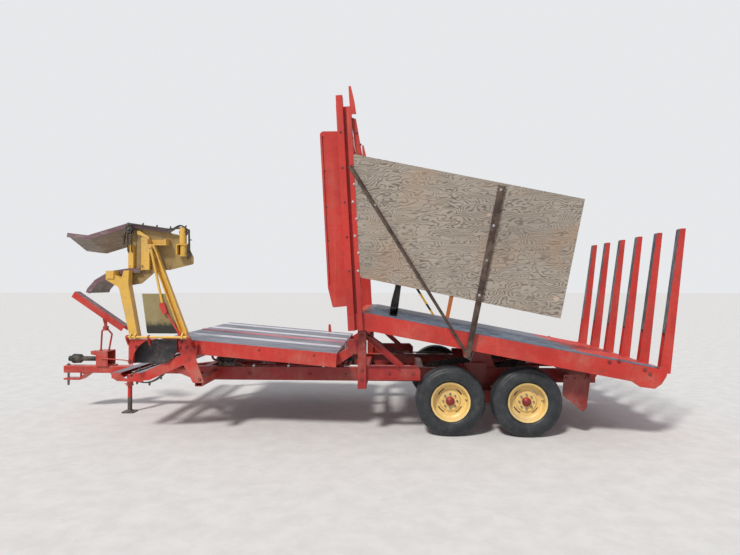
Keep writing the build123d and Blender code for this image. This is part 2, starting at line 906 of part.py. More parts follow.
rod_feet = ((-3091, 737), (-2986, 738))
rod_heads = ((-3079, 993), (-2948, 955))
with BuildPart() as front_guide_rail:
    rail_plane = Plane(origin=(guide_rail_front[0], 0, guide_rail_front[1]), x_dir=(0, 1, 0), z_dir=rail_run)
    with BuildSketch(rail_plane) as rail_section:
        Rectangle(2 * guide_rail_half, 80)
        with Locations((0, -6)):
            Rectangle(2 * guide_rail_half - 12, 80, mode=Mode.SUBTRACT)
        with BuildLine():
            Polyline((guide_rail_half - 40, 40), (guide_rail_half, 40), (guide_rail_half, 0), close=True)
        make_face(mode=Mode.SUBTRACT)
        with BuildLine():
            Polyline(
                (guide_rail_half - 40, 40),
                (guide_rail_half, 0),
                (guide_rail_half - 6, -6),
                (guide_rail_half - 46, 34),
                close=True,
            )
        make_face()
    extrude(rail_section.sketch, amount=rail_run.length)
    plate(
        side_plane(6),
        [(-3105, rail_height(-3105) + 43), (-3014, rail_height(-3014) + 43), (-3013, 1050), (-3045, 1050)],
        12,
        corners=((2, 8), (3, 8)),
    )
    block(Plane.XY, (-3051, -3007), (-30, 30), (1000, 1056))
    for head, foot in zip(rod_heads, rod_feet):
        rod((foot[0], 0, stand_top + 5), (head[0], 0, head[1]), 11)
        rod((head[0], 0, head[1]), (-3029, 0, 1040), 11)
        rod((foot[0], 0, stand_top), (foot[0], 0, stand_top + 10), 20)
save(front_guide_rail, "front_guide_rail")

# Hose stand: a bent channel on the drawbar with a shelf over it and a tab to the front
with BuildPart() as hose_stand:
    block(Plane.XY, (-3110, -2960), (-80, 110), (drawbar_top, stand_top))
    block(Plane.XY, (-3102, -2952), (-72, 102), (drawbar_top + 10, stand_top - 8), Mode.SUBTRACT)
    plate(
        side_plane(-72),
        [(-3110, stand_top - 54), (-3110, stand_top), (-3173, stand_top), (-3180, stand_top - 40)],
        8,
        corners=((2, 8), (3, 12)),
    )
    block(Plane.XY, (-3180, -3110), (-80, 20), (stand_top - 8, stand_top))
    rod((-3040, -90, 655), (-2737, -90, 637), 7)
    rod((-2737, -90, 637), (-2600, -70, 600), 7)
    cross_pin((-3040, 655), (-90, -72), 7)
save(hose_stand, "hose_stand")

# Driveline: a bell guard behind the coupling's bore and a shaft that rises to the stand
coupling_x = (-3500, -3425)
with BuildPart() as driveline:
    with BuildSketch(Plane(origin=(0, 0, driveline_z), x_dir=(1, 0, 0), z_dir=(0, -1, 0))):
        with BuildLine():
            Polyline(
                (coupling_x[0], pto_bore),
                (coupling_x[0], 34),
                (-3458, 34),
                (-3458, 50),
                (-3440, 60),
                (-3352, 56),
                (-3334, 42),
                (-3318, 30),
                (-3110, 30),
                (-3110, 0),
                (coupling_x[1], 0),
                (coupling_x[1], pto_bore),
                close=True,
            )
        make_face()
    revolve(axis=Axis((0, 0, driveline_z), (1, 0, 0)))
save(driveline, "driveline")

with BuildPart() as gearbox:
    with BuildSketch(Plane(origin=(-1410, 0, 520))):
        RectangleRounded(260, 260, 30)
    extrude(amount=150)
    with BuildSketch(Plane(origin=(-1410, 0, 670))):
        RectangleRounded(290, 240, 20)
    extrude(amount=14)
    rod((-1410, 0, 684), (-1410, 0, 700), 60)
save(gearbox, "gearbox")

# First table: two channels with the chain's slot between them, noses with a dip, arms and sprocket shafts
chain_x = (table_one_front + table_one_rear) / 2
sprocket_y = top_links * chain_pitch / 2
pitch_radius = chain_pitch / (2 * sin(pi / sprocket_teeth))
sprocket_z = drawbar_top + drawbar_clear + link_high / 2 + pitch_radius
chain_top = sprocket_z + pitch_radius
sprocket_disc = pitch_radius - 8
nose = [(-2345, 652), (-2325, 600), (-2275, 568), (-2005, 562), (-1957, 640), (-1960, 652)]
arm = [
    (-2050, 640),
    (-2030, 575),
    (-1930, 580),
    (table_one_pivot_x + 30, table_one_pivot_z - 46),
    (table_one_pivot_x + 40, table_one_pivot_z + 36),
    (table_one_pivot_x - 40, table_one_pivot_z + 36),
]
leg_end = (-1425, 664)
with BuildPart() as first_table:
    rail_mid = table_one_top - table_one_depth / 2
    for x, inward in ((table_one_front, 1), (table_one_rear, -1)):
        channel(
            Plane(origin=(x, -table_one_half, rail_mid), x_dir=(inward, 0, 0), z_dir=(0, 1, 0)),
            table_one_depth,
            table_one_rail,
            table_one_wall,
            2 * table_one_half,
        )
    for side in (-1, 1):
        nose_plane = side_plane(side * (table_one_half - 5), side)
        plate(nose_plane, [(-side * x, z) for x, z in nose], nose_thick, corners=((1, 12), (2, 15), (3, 15)))
        discs(nose_plane, [(-side * chain_x, table_one_top + 10)], 75, nose_thick, Mode.SUBTRACT)
        arm_plane = side_plane(side * arm_inner, side)
        plate(arm_plane, [(-side * x, z) for x, z in arm], arm_thick, corners=((4, 30), (5, 30), (3, 20)))
        leg_run = Vector(leg_end[0] - table_one_pivot_x, 0, leg_end[1] - table_one_pivot_z)
        leg_plane = Plane(
            origin=(table_one_pivot_x, side * arm_inner, table_one_pivot_z),
            x_dir=leg_run,
            z_dir=(0, side, 0),
        )
        block(leg_plane, (0, leg_run.length), (-20, 20), (0, arm_thick))
        cross_pin(leg_end, (side * arm_inner, side * (arm_inner + arm_thick)), 20)
        cross_pin(
            (table_one_pivot_x, table_one_pivot_z),
            (side * arm_inner, side * (bracket_inner + bracket_thick + 16)),
            table_one_pin,
        )
        shaft_ends = (table_one_front + table_one_wall, table_one_rear - table_one_wall)
        rod(
            (shaft_ends[0], side * sprocket_y, sprocket_z),
            (shaft_ends[1], side * sprocket_y, sprocket_z),
            12,
        )
        hub = (chain_x - 5, side * sprocket_y, sprocket_z)
        sprocket_plane = Plane(origin=hub, x_dir=(0, 1, 0), z_dir=(1, 0, 0))
        with BuildSketch(sprocket_plane) as sprocket:
            Circle(sprocket_disc)
            with PolarLocations(0, sprocket_teeth):
                with BuildLine():
                    Polyline((26, -6.5), (42, -3), (42, 3), (26, 6.5), close=True)
                make_face()
        extrude(sprocket.sketch, amount=10, dir=(1, 0, 0))
save(first_table, "first_table")

# Cross chain: cranked links pinned through their barrels, every eighth with a lug, with a slack return
half_pitch = chain_pitch / 2
link_end = half_pitch + 6
sidebar = [
    (-link_end, 6.5),
    (-link_end, 11.5),
    (-6, 11.5),
    (4, 17),
    (link_end, 17),
    (link_end, 12),
    (6, 12),
    (-4, 6.5),
]
barrel_half = 11.5
slack_span = int((sprocket_y - drawbar_width / 2 + drawbar_clear) / chain_pitch)
slack_links = slack_span + 1
with BuildPart() as link:
    plate(Plane.XY.offset(-link_high / 2), sidebar, link_high)
    mirror(about=Plane.XZ)
    rod((-half_pitch, -barrel_half, 0), (-half_pitch, barrel_half, 0), 7.5)
    rod((-half_pitch, -barrel_half, 0), (-half_pitch, barrel_half, 0), 4 + seat_gap, Mode.SUBTRACT)
    rod((half_pitch, -19, 0), (half_pitch, 19, 0), 4)
with BuildPart() as lug_link:
    add(link.part)
    plate(
        Plane(origin=(-4, 0, 0), x_dir=(0, 1, 0), z_dir=(1, 0, 0)),
        [(-17, link_high / 2 - 2), (17, link_high / 2 - 2), (8, lug_height), (-8, lug_height)],
        8,
        corners=((2, 4), (3, 4)),
    )
low_bend = 0.0
high_bend = 0.2
while high_bend - low_bend > 1e-9:
    bend = (low_bend + high_bend) / 2
    if sin(slack_links * bend / 2) / sin(bend / 2) > slack_span:
        low_bend = bend
    else:
        high_bend = bend
return_links = round(2 * sprocket_y / chain_pitch) - slack_span
slack_turns = [degrees((slack_links - 1) / 2 * bend - i * bend) for i in range(slack_links)]
headings = (
    [0] * top_links
    + [-30, -90, -150]
    + [180] * return_links
    + [180 + turn for turn in slack_turns]
    + [150, 90, 30]
)
links = []
pin_y = -sprocket_y
pin_z = chain_top
for number, heading in enumerate(headings):
    along = Vector(0, cos(radians(heading)), sin(radians(heading)))
    middle = Vector(chain_x, pin_y, pin_z) + along * half_pitch
    link_plane = Plane(origin=middle, x_dir=along, z_dir=(0, -along.Z, along.Y))
    over_drawbar = middle.Z < sprocket_z and abs(middle.Y) < drawbar_width / 2 + 30
    has_lug = number % lug_step == 3 and not over_drawbar
    links.append((lug_link if has_lug else link).part.moved(link_plane.location))
    pin_y += along.Y * chain_pitch
    pin_z += along.Z * chain_pitch
cross_chain = Compound(label="cross_chain", children=links)
export_step(cross_chain, "parts/cross_chain.step")

# Second table: channel sides with a raked nose, crossbars under its deck, and arms to its pivot
eye_x, eye_z = local_point(table_plane, table_eye_pin)
with BuildPart() as second_table:
    long = table_two_length
    side_outline = [
        (-long - table_two_nose, -39),
        (-long, 0),
        (0, 0),
        (0, -table_two_depth),
        (-long - 85, -table_two_depth),
        (-long - 112, 4 - table_two_depth),
    ]
    inner = table_two_half - table_two_wall
    for side in (-1, 1):
        rail_plane = Plane(
            origin=table_plane.from_local_coords(Vector(0, side * inner, 0)),
            x_dir=table_plane.x_dir,
            z_dir=(0, side, 0),
        )
        turned_outline = [(x, -side * z) for x, z in side_outline]
        plate(rail_plane, turned_outline, table_two_wall, corners=((0, 8), (4, 20), (5, 20)))
        for z in (-table_sheet - table_two_wall, -table_two_depth):
            block(
                table_plane,
                (-long, 0),
                (
                    min(side * (inner - table_two_lip), side * inner),
                    max(side * (inner - table_two_lip), side * inner),
                ),
                (z, z + table_two_wall),
            )
    for x in (-long, -0.62 * long, -8):
        block(table_plane, (x, x + 8), (-inner, inner), (-table_two_depth, -table_sheet))
    for x in (-long, -0.62 * long):
        block(table_plane, (x, x + 50), (-inner, inner), (-table_two_depth, 8 - table_two_depth))
    block(table_plane, (-8, 0), (-60, 60), (-table_two_depth, -table_sheet), Mode.SUBTRACT)
    block(table_plane, (eye_x - 30, eye_x + 30), (-inner, inner), (-table_sheet - 24, -table_sheet))
    lugs(table_plane, (eye_x - 28, eye_x + 28), (eye_z - 28, -table_sheet - 20), 0)
    eye_stubs(table_eye_pin, 0)
    pivot = (table_two_pivot_x, table_two_pivot_z)
    arm_outline = [
        (table_two_rear_x + 6, table_two_rear_z - 20),
        (table_two_rear_x - 70, table_two_rear_z - 14),
        (table_two_rear_x - 70, table_two_rear_z - table_two_depth + 12),
        (table_two_rear_x, table_two_rear_z - table_two_depth + 8),
        (pivot[0] + 8, pivot[1] - 43),
        (pivot[0] - 8, pivot[1] + 43),
    ]
    for side in (-1, 1):
        inboard = side * (table_arm_half - table_arm_thick / 2)
        arm_plane = side_plane(inboard, side)
        plate(arm_plane, [(-side * x, z) for x, z in arm_outline], table_arm_thick)
        discs(arm_plane, [(-side * pivot[0], pivot[1])], 44, table_arm_thick)
        discs(
            arm_plane,
            [(-side * pivot[0], pivot[1])],
            table_two_pin + pin_gap,
            table_arm_thick,
            Mode.SUBTRACT,
        )
save(second_table, "second_table")

# The second table's deck with its worn strips and a short finger at the right
with BuildPart() as table_slats:
    block(table_plane, (-table_two_length, 0), (1 - inner, inner - 1), (-table_sheet, 0))
    strip_plane = Plane(
        origin=table_plane.from_local_coords(Vector(-12, 0, 0)), x_dir=(0, 1, 0), z_dir=-table_plane.x_dir
    )
    for y in strip_y:
        strip = [(y - strip_width / 2, 0), (y - strip_width / 2 + 20, -strip_height),
                 (y + strip_width / 2 - 20, -strip_height), (y + strip_width / 2, 0)]
        plate(strip_plane, strip, table_two_length - 24)
    finger = [(-345, 0), (-300, 0), (-322, 112), (-352, 118)]
    finger_plane = Plane(
        origin=table_plane.from_local_coords(Vector(0, 935, 0)),
        x_dir=table_plane.x_dir,
        z_dir=(0, -1, 0),
    )
    plate(finger_plane, finger, 12, corners=((2, 8), (3, 8)))
    block(table_plane, (-380, -265), (905, 955), (0, 8))
save(table_slats, "table_slats")

# Load rack frame: side channels with rounded ends, beams over the main frame, crossbars and pivot lugs
pivot_x, pivot_z = local_point(rack_plane, (rack_pivot_x, rack_pivot_z))
rack_eye_x, rack_eye_z = local_point(rack_plane, rack_eye_pin)
slit = portal_slit / 2
portal_back = slit + portal_flange
cheek = [
    (rack_length - 250, 0),
    (rack_length - 250, -rack_depth),
    (rack_length - 160, -rack_depth - 38),
    (rack_length - 13, -rack_depth - 29),
    (rack_length + 45, 33 - rack_depth),
    (rack_length + 78, -56),
    (rack_length + 71, 44),
    (rack_length + 21, 44),
    (rack_length, 0),
]
front_corners = (
    side_point(portal_plane, portal_back, 12),
    side_point(portal_plane, portal_back, 170),
    side_point(rack_plane, 0, 0),
    side_point(rack_plane, 0, -rack_depth),
)
with BuildPart() as rack_frame:
    for side in (-1, 1):
        rail = Plane(
            origin=rack_plane.from_local_coords(Vector(0, side * rack_half, -rack_depth / 2)),
            x_dir=(0, -side, 0),
            z_dir=rack_plane.x_dir,
        )
        channel(rail, rack_depth, rail_flange, rail_wall, rack_length)
        cheek_plane = Plane(
            origin=rack_plane.from_local_coords(Vector(0, side * (rack_half - rail_wall), 0)),
            x_dir=rack_plane.x_dir,
            z_dir=(0, side, 0),
        )
        plate(
            cheek_plane,
            [(x, -side * z) for x, z in cheek],
            rail_wall,
            corners=((3, 30), (4, 30), (5, 30), (6, 10)),
        )
        block(
            rack_plane,
            (0, rack_length),
            (side * rack_beam_half - rack_beam_wide / 2, side * rack_beam_half + rack_beam_wide / 2),
            (-rack_beam_depth, -60),
        )
        lug_y = side * (frame_half + 18)
        block(
            rack_plane,
            (pivot_x - 45, pivot_x + 45),
            (lug_y - 12, lug_y + 12),
            (pivot_z, -rack_beam_depth + 20),
        )
        cross_pin((rack_pivot_x, rack_pivot_z), (lug_y - 12, lug_y + 12), 45)
        block(
            rack_plane,
            (pivot_x - 45, pivot_x + 45),
            (
                min(side * (rack_beam_half - 30), lug_y + side * 12),
                max(side * (rack_beam_half - 30), lug_y + side * 12),
            ),
            (-rack_beam_depth, -rack_beam_depth + 20),
        )
        pin_ends = (side * (frame_half - 24), side * (frame_half + 42))
        cross_pin((rack_pivot_x, rack_pivot_z), pin_ends, rack_pin_radius)
        stay_plate = [
            (stay_foot[0] - 50, stay_foot[1] + 72),
            (stay_foot[0] + 50, stay_foot[1] + 52),
            (stay_foot[0] + 32, stay_foot[1] - 32),
            (stay_foot[0] - 32, stay_foot[1] - 32),
        ]
        plate(
            side_plane(side * (rack_half - rail_wall), side),
            [(-side * x, z) for x, z in stay_plate],
            rail_wall,
            corners=((2, 20), (3, 20)),
        )
    for x in (40, 700, 1400, rack_eye_x, 2800):
        block(
            rack_plane,
            (x - 30, x + 30),
            (rail_wall - rack_half, rack_half - rail_wall),
            (-110, 0),
        )
    for y in (-rack_cylinder_y, rack_cylinder_y):
        lugs(rack_plane, (rack_eye_x - 28, rack_eye_x + 28), (rack_eye_z - 28, -100), y)
        eye_stubs(rack_eye_pin, y)
    plate(side_plane(rack_half), front_corners, 2 * rack_half)
save(rack_frame, "rack_frame")

# Deck: two bands of sheet with a gap between them, each with long raised ribs
deck_bands = ((20 - rack_half, -10), (150, rack_half - 20))
rib_pitch = 186
rib_width = 84
with BuildPart() as rack_deck:
    for low, high in deck_bands:
        block(rack_plane, (0, rack_length), (low, high), (0, deck_sheet))
        rib_count = int((high - low) / rib_pitch)
        for i in range(rib_count):
            y = (low + high) / 2 + (i - (rib_count - 1) / 2) * rib_pitch
            rib = [
                (y - rib_width / 2, deck_sheet),
                (y - rib_width / 2 + 16, deck_sheet + band_height),
                (y + rib_width / 2 - 16, deck_sheet + band_height),
                (y + rib_width / 2, deck_sheet),
            ]
            rib_plane = Plane(
                origin=rack_plane.from_local_coords(Vector(12, 0, 0)),
                x_dir=(0, 1, 0),
                z_dir=rack_plane.x_dir,
            )
            plate(rib_plane, rib, rack_length - 24)
save(rack_deck, "rack_deck")

# Tines on a hollow end beam: tapered channels, open to the rear
tine_x = rack_rear_x + 107
with BuildPart() as tines:
    beam = [(rack_length, -rack_depth), (rack_length, 10), (rack_length + 74, 10), (rack_length + 74, -60)]
    beam += [(rack_length + 50, -130), (rack_length + 20, -rack_depth)]
    half_width = rack_half - rail_wall
    beam_end = rack_plane.from_local_coords(Vector(0, -half_width, 0))
    beam_plane = Plane(origin=beam_end, x_dir=rack_plane.x_dir, z_dir=(0, -1, 0))
    plate(beam_plane, beam, -2 * half_width, corners=((3, 15), (4, 20)))
    for i in range(tine_count):
        y = -tine_half + i * 2 * tine_half / (tine_count - 1)
        lean = (tine_top - tine_foot) * sin(radians(tine_lean))
        outline = [
            (tine_x - tine_base, tine_foot),
            (tine_x, tine_foot),
            (tine_x + lean, tine_top),
            (tine_x + lean - tine_tip, tine_top),
        ]
        plate(side_plane(y + tine_wide / 2), outline, tine_wide, corners=((3, 18),))
        pocket = [(x + tine_wall, z) for x, z in outline]
        pocket[0] = (outline[0][0] + tine_wall, tine_foot + 60)
        pocket[1] = (outline[1][0] + tine_wall, tine_foot + 60)
        pocket[2] = (outline[2][0] + tine_wall, tine_top - 12)
        pocket[3] = (outline[3][0] + tine_wall, tine_top - 12)
        plate(side_plane(y + tine_wide / 2 - tine_wall), pocket, tine_wide - 2 * tine_wall, Mode.SUBTRACT)
save(tines, "tines")

# Portal: each post a hollow front member and a bolting flange with a slit between, a cap and a gusset
cap_low = portal_length
cap_high = portal_length + 100
with BuildPart() as portal:
    front_centre = (-slit - portal_front_member / 2, -(portal_inner + portal_outer) / 2)
    with BuildSketch(portal_plane) as section:
        with Locations(front_centre):
            RectangleRounded(portal_front_member, portal_outer - portal_inner, 8)
            Rectangle(
                portal_front_member - 2 * portal_wall,
                portal_outer - portal_inner - 2 * portal_wall,
                mode=Mode.SUBTRACT,
            )
        with Locations((-2, -portal_inner - 20)):
            Rectangle(portal_slit + 4, 40)
        with Locations((slit + portal_flange / 2, -portal_inner - 20)):
            Rectangle(portal_flange, 40)
    extrude(section.sketch, amount=portal_length, dir=portal_plane.z_dir)
    with BuildSketch(portal_plane.offset(portal_length - 20)) as cap:
        with Locations(front_centre):
            RectangleRounded(portal_front_member - 4, portal_outer - portal_inner - 4, 10)
    extrude(cap.sketch, amount=cap_high - portal_length + 20, dir=portal_plane.z_dir)
    block(
        portal_plane,
        (slit, slit + portal_flange),
        (-portal_outer, -ply_outer),
        (0, portal_length - 30),
    )
    block(
        portal_plane,
        (slit, slit + 6),
        (-portal_outer, -portal_inner),
        (0, portal_length - 30),
    )
    finger = [(202, 3350), (262, 3350), (243, 3480), (206, 3640), (181, 3640), (190, 3480)]
    plate(side_plane(-portal_inner - 40), finger, 10, corners=((2, 25), (3, 8), (4, 8)))
    gusset = [(223, 3321), (279, 3300), (350, 2890), (294, 2870)]
    gusset_y = portal_inner + 40
    plate(side_plane(8 - gusset_y), [(x - 20, z) for x, z in gusset], 8, corners=((0, 12), (3, 12)))
    mirror(about=Plane.XZ)
    block(
        portal_plane,
        (-slit - portal_front_member, slit),
        (-portal_inner, portal_inner),
        (portal_length - 190, portal_length - 60),
    )
    block(portal_plane, (-slit, portal_back), (-rack_half, rack_half), (12, 170))
save(portal, "portal")

# Side guides: sheets inside the portal's posts, with a lip folded in along the front edge
guide_y = portal_inner - guide_thick
guide_outline = [(-125, 3189), (79, 3188), (205, 1369), (14, 1349), (-37, 1554)]
for name, side in (("left", -1), ("right", 1)):
    with BuildPart() as side_guide:
        guide_plane = side_plane(side * guide_y, side)
        plate(
            guide_plane,
            [(-side * x, z) for x, z in guide_outline],
            guide_thick,
            corners=((0, 40), (3, 20), (4, 60)),
        )
        lip = [(-118, 3140), (-100, 3140), (-20, 1600), (-33, 1600)]
        plate(guide_plane, [(-side * x, z) for x, z in lip], guide_lip)
    save(side_guide, f"side_guide_{name}")

# Plywood sides, sawn off along the portal
ply_dir = Vector(cos(radians(ply_slope)), 0, -sin(radians(ply_slope)))
for name, side in (("left", -1), ("right", 1)):
    ply_plane = Plane(
        origin=(ply_rear_top[0], side * (ply_outer - ply_thick), ply_rear_top[1]),
        x_dir=-side * ply_dir,
        z_dir=(0, side, 0),
    )
    with BuildPart() as plywood:
        run = side * ply_length
        plate(ply_plane, [(0, 0), (run, 0), (run, -ply_height), (0, -ply_height)], ply_thick)
        cut_start = portal_plane.from_local_coords(Vector(slit + 7, 0, 0))
        cut_plane = Plane(origin=cut_start, z_dir=portal_plane.x_dir)
        split(bisect_by=cut_plane, keep=Keep.TOP)
    save(plywood, f"plywood_{name}")

# Stays that hold the plywood: folded angles from a shared foot on the rail
with BuildPart() as side_stays:
    for top, width in (((1735, 2585), 70), ((203, 2798), 44)):
        run = Vector(top[0] - stay_foot[0], 0, top[1] - stay_foot[1])
        stay_plane = Plane(origin=(stay_foot[0], -portal_outer, stay_foot[1]), x_dir=run, z_dir=(0, -1, 0))
        taper = width / 2 - 8
        plate(
            stay_plane,
            [(-30, -taper), (-30, taper), (run.length, width / 2), (run.length, -width / 2)],
            stay_wall,
            corners=((0, 12), (1, 12)),
        )
        plate(
            stay_plane,
            [
                (60, -taper + 1),
                (60, -taper + 1 + stay_wall),
                (run.length, stay_wall - width / 2),
                (run.length, -width / 2),
            ],
            26,
        )
    cross_pin(stay_foot, (-rack_half, -portal_outer - 26), 14)
    mirror(about=Plane.XZ)
save(side_stays, "side_stays")

# Rolling rack on the deck: a square tube with tapered uprights and their braces
roller_x = 205
roller_tube = 85
roller_base = deck_sheet + band_height + seat_gap
upright_top = 1180
with BuildPart() as rolling_rack:
    box_tube(
        Plane(
            origin=rack_plane.from_local_coords(
                       Vector(roller_x + roller_tube / 2, -900, roller_base + roller_tube / 2),
                   ),
            x_dir=rack_plane.x_dir,
            z_dir=(0, 1, 0),
        ),
        roller_tube,
        roller_tube,
        5,
        1800,
    )
    for i in range(roller_count):
        y = -750 + i * 1500 / (roller_count - 1)
        upright_plane = Plane(
            origin=rack_plane.from_local_coords(Vector(0, y + 25, 0)),
            x_dir=rack_plane.x_dir,
            z_dir=(0, -1, 0),
        )
        foot_z = roller_base + roller_tube
        upright = [(roller_x + 12, foot_z), (roller_x + 72, foot_z), (roller_x + 64, upright_top)]
        upright += [(roller_x + 18, upright_top)]
        plate(upright_plane, upright, 50, corners=((2, 14), (3, 14)))
        plate(
            upright_plane.offset(19),
            [(roller_x + 72, foot_z), (roller_x + roller_tube, foot_z), (roller_x + 70, foot_z + 260)],
            12,
        )
        plate(
            upright_plane.offset(19),
            [(roller_x, foot_z), (roller_x + 13, foot_z), (roller_x + 14, foot_z + 200)],
            12,
        )
save(rolling_rack, "rolling_rack")

# Loader frame: a column and a long arm on one hinge line, and the head that carries the chute
column_half = 40
column_y = loader_lip_y - 2 - column_half
arm_y = column_y + 2
arm_half = 25
with BuildPart() as loader_frame:
    rod(
        (loader_hinge_x[0] - 12, loader_hinge_y, loader_hinge_z),
        (loader_hinge_x[1], loader_hinge_y, loader_hinge_z),
        loader_pin,
    )
    column = [
        (-2063, 1031),
        (-1978, 1031),
        (-2085, 1600),
        (-2078, 1735),
        (-2133, 1735),
        (-2160, 1650),
        (-2227, 1690),
        (-2227, 1731),
        (-2324, 1731),
        (-2324, 1640),
        (-2184, 1560),
    ]
    plate(side_plane(column_y + column_half), column, 2 * column_half, corners=((2, 200), (10, 60)))
    block(
        Plane.XY,
        (-2316, -2235),
        (column_y - column_half - 12, column_y - column_half),
        (1650, 1731),
    )
    for x in (-2050, -2002, -1514):
        plate(
            Plane(origin=(x - 8, 0, 0), x_dir=(0, 1, 0), z_dir=(1, 0, 0)),
            [
                (loader_hinge_y - 18, loader_hinge_z - 18),
                (loader_hinge_y - 18, loader_hinge_z + 20),
                (column_y - 20, loader_hinge_z + 60),
                (column_y, loader_hinge_z + 60),
                (column_y, loader_hinge_z - 18),
            ],
            16,
        )
    arm_outline = [(-1550, 1030), (-1478, 1030), (-1478, 1100), (-1822, 1995), (-1895, 1995), (-1550, 1090)]
    plate(side_plane(arm_y + arm_half), arm_outline, 2 * arm_half, corners=((0, 15), (1, 15)))
    hollow = [(-1537, 1090), (-1491, 1097), (-1826, 1960), (-1870, 1960)]
    plate(side_plane(arm_y + arm_half - 8), hollow, 2 * arm_half, Mode.SUBTRACT, corners=((0, 8), (1, 8)))
    block(Plane.XY, (-1906, -1700), (arm_y - arm_half, loader_floor_y), (1995, 2060))
    block(Plane.XY, (-1894, -1712), (arm_y - arm_half, loader_floor_y - 12), (2007, 2060), Mode.SUBTRACT)
save(loader_frame, "loader_frame")

# Loader chute: its floor with the ribs and boxes that stiffen the outside
with BuildPart() as loader_chute:
    floor = [
        (-2110, 1741),
        (-2110, 2189.4),
        (-1690, 2128.3),
        (-1560, 2100),
        (-1450, 1876),
        (-1450, 1803),
        (-1704, 1741),
    ]
    plate(
        side_plane(loader_floor_y + loader_sheet),
        floor,
        loader_sheet,
        corners=((3, 20), (4, 15), (5, 15)),
    )
    block(Plane.XY, (-2133, -2078), (loader_lip_y + loader_sheet, loader_floor_y), (1741, 2003))
    outer = [(-1994, 1742), (-1994, 2087), (-1906, 2070), (-1906, 1742)]
    plate(side_plane(loader_floor_y), outer, loader_floor_y - loader_lip_y - loader_sheet)
    rib = [(-2040, 2150), (-2012, 2150), (-1915, 2087), (-1915, 2060), (-2040, 2120)]
    plate(side_plane(loader_floor_y), rib, 30)
    throat = [
        (-2240, 1560),
        (-2000, 1600),
        (-1840, 1738),
        (-1840, 1745),
        (-1995, 1745),
        (-1995, 1732),
        (-2110, 1732),
    ]
    throat += [(-2240, 1712)]
    plate(side_plane(loader_floor_y + loader_sheet), throat, loader_sheet, corners=((0, 30),))
save(loader_chute, "loader_chute")

# Guides over and under the chute: a lip along the outside and a sheet that runs inboard from it
guide_paths = (
    ("upper", [(-2791, 2111), (-2564, 2084), (-2123, 2213), (-1690, 2150)], 46, -0.42, 380),
    (
        "lower",
        [(-2560, 1500), (-2549, 1532), (-2474, 1616), (-2324, 1705), (-2110, 1736), (-2000, 1736)],
        50,
        0.0,
        400,
    ),
)
for name, path, lip, dip, depth in guide_paths:
    with BuildPart() as guide:
        for width, thick, direction in ((loader_sheet, depth, (0, 1, dip)), (lip, loader_sheet, (0, 1, 0))):
            with BuildSketch(side_plane(loader_lip_y, 1)) as strip:
                with BuildLine():
                    Polyline(*[(-x, z) for x, z in path])
                trace(line_width=width)
            extrude(strip.sketch, amount=thick, dir=direction)
    save(guide, f"loader_guide_{name}")

# Drive of the loader's upright roller: its frame, motor and the roller
drive_y = loader_floor_y - 45
with BuildPart() as loader_drive:
    rod((-1542, drive_y, 2010), (-1542, drive_y, 2179), 36)
    block(Plane.XY, (-1600, -1484), (loader_floor_y - 90, loader_floor_y), (1998, 2010))
    block(Plane.XY, (-1600, -1588), (loader_floor_y - 90, loader_floor_y), (1900, 1998))
    rod((-1536, drive_y, 1900), (-1536, drive_y, 1998), 34)
    rod((-1536, drive_y, 1880), (-1536, drive_y, 1900), 40)
save(loader_drive, "loader_drive")

link_y = arm_y - arm_half - 14
with BuildPart() as loader_link:
    rod((-1854, link_y, 1980), (-1724, link_y, 1386), 13)
    clevis = [(-1745, 1400), (-1700, 1400), (-1670, 1310), (-1690, 1285), (-1715, 1290), (-1750, 1370)]
    plate(side_plane(link_y + 14), clevis, 36, corners=((0, 10), (1, 10), (2, 10), (3, 10)))
    rod((-1700, link_y, 1330), (-1545, link_y, 1080), 11)
    for x, z in ((-1854, 1975), (-1545, 1080)):
        cross_pin((x, z), (link_y - 18, arm_y - arm_half), 15)
        cross_pin((x, z), (link_y - 14, link_y + 14), 17)
save(loader_link, "loader_link")

# Apron: a thin sheet that hangs between the long arm and the column
with BuildPart() as loader_apron:
    apron = [(-1948, 1495), (-1892, 1085), (-1550.3, 1085), (-1550.3, 1090), (-1704.7, 1495)]
    plate(side_plane(arm_y - arm_half + loader_sheet), apron, loader_sheet, corners=((1, 20),))
save(loader_apron, "loader_apron")

# Lift cylinders: barrels pinned to the frame and rods that slide in them
cylinders = (
    ("rack_lift", rack_barrel_pin, rack_eye_pin, (-rack_cylinder_y, rack_cylinder_y), 1085),
    ("table_lift", table_barrel_pin, table_eye_pin, (0,), 485),
)
rod_start = 100
for name, barrel_pin, eye_pin, places, barrel_length in cylinders:
    run = Vector(eye_pin[0] - barrel_pin[0], 0, eye_pin[1] - barrel_pin[1])
    with BuildPart() as barrel:
        for y in places:
            plane = Plane(origin=(barrel_pin[0], y, barrel_pin[1]), x_dir=(0, 1, 0), z_dir=run)
            eye_span = (y - eye_width / 2, y + eye_width / 2)
            block(plane, (-eye_width / 2, eye_width / 2), (-25, 25), (0, barrel_start))
            discs(plane.offset(barrel_start), [(0, 0)], barrel_radius, barrel_length)
            discs(
                plane.offset(barrel_start + barrel_length - gland_length),
                [(0, 0)],
                gland_radius,
                gland_length,
            )
            discs(plane.offset(barrel_start + 60), [(0, barrel_radius)], 11, 30)
            discs(
                plane.offset(barrel_start + 30),
                [(0, 0)],
                rod_radius + rod_gap,
                barrel_length,
                Mode.SUBTRACT,
            )
            cross_pin(barrel_pin, eye_span, eye_radius)
            cross_pin(barrel_pin, eye_span, cylinder_pin + pin_gap, Mode.SUBTRACT)
    save(barrel, f"{name}_barrel")
    with BuildPart() as piston_rod:
        for y in places:
            plane = Plane(origin=(barrel_pin[0], y, barrel_pin[1]), x_dir=(0, 1, 0), z_dir=run)
            discs(plane.offset(rod_start), [(0, 0)], rod_radius, run.length - rod_start - 20)
            cross_pin(eye_pin, (y - eye_width / 2, y + eye_width / 2), eye_radius)
    save(piston_rod, f"{name}_rod")
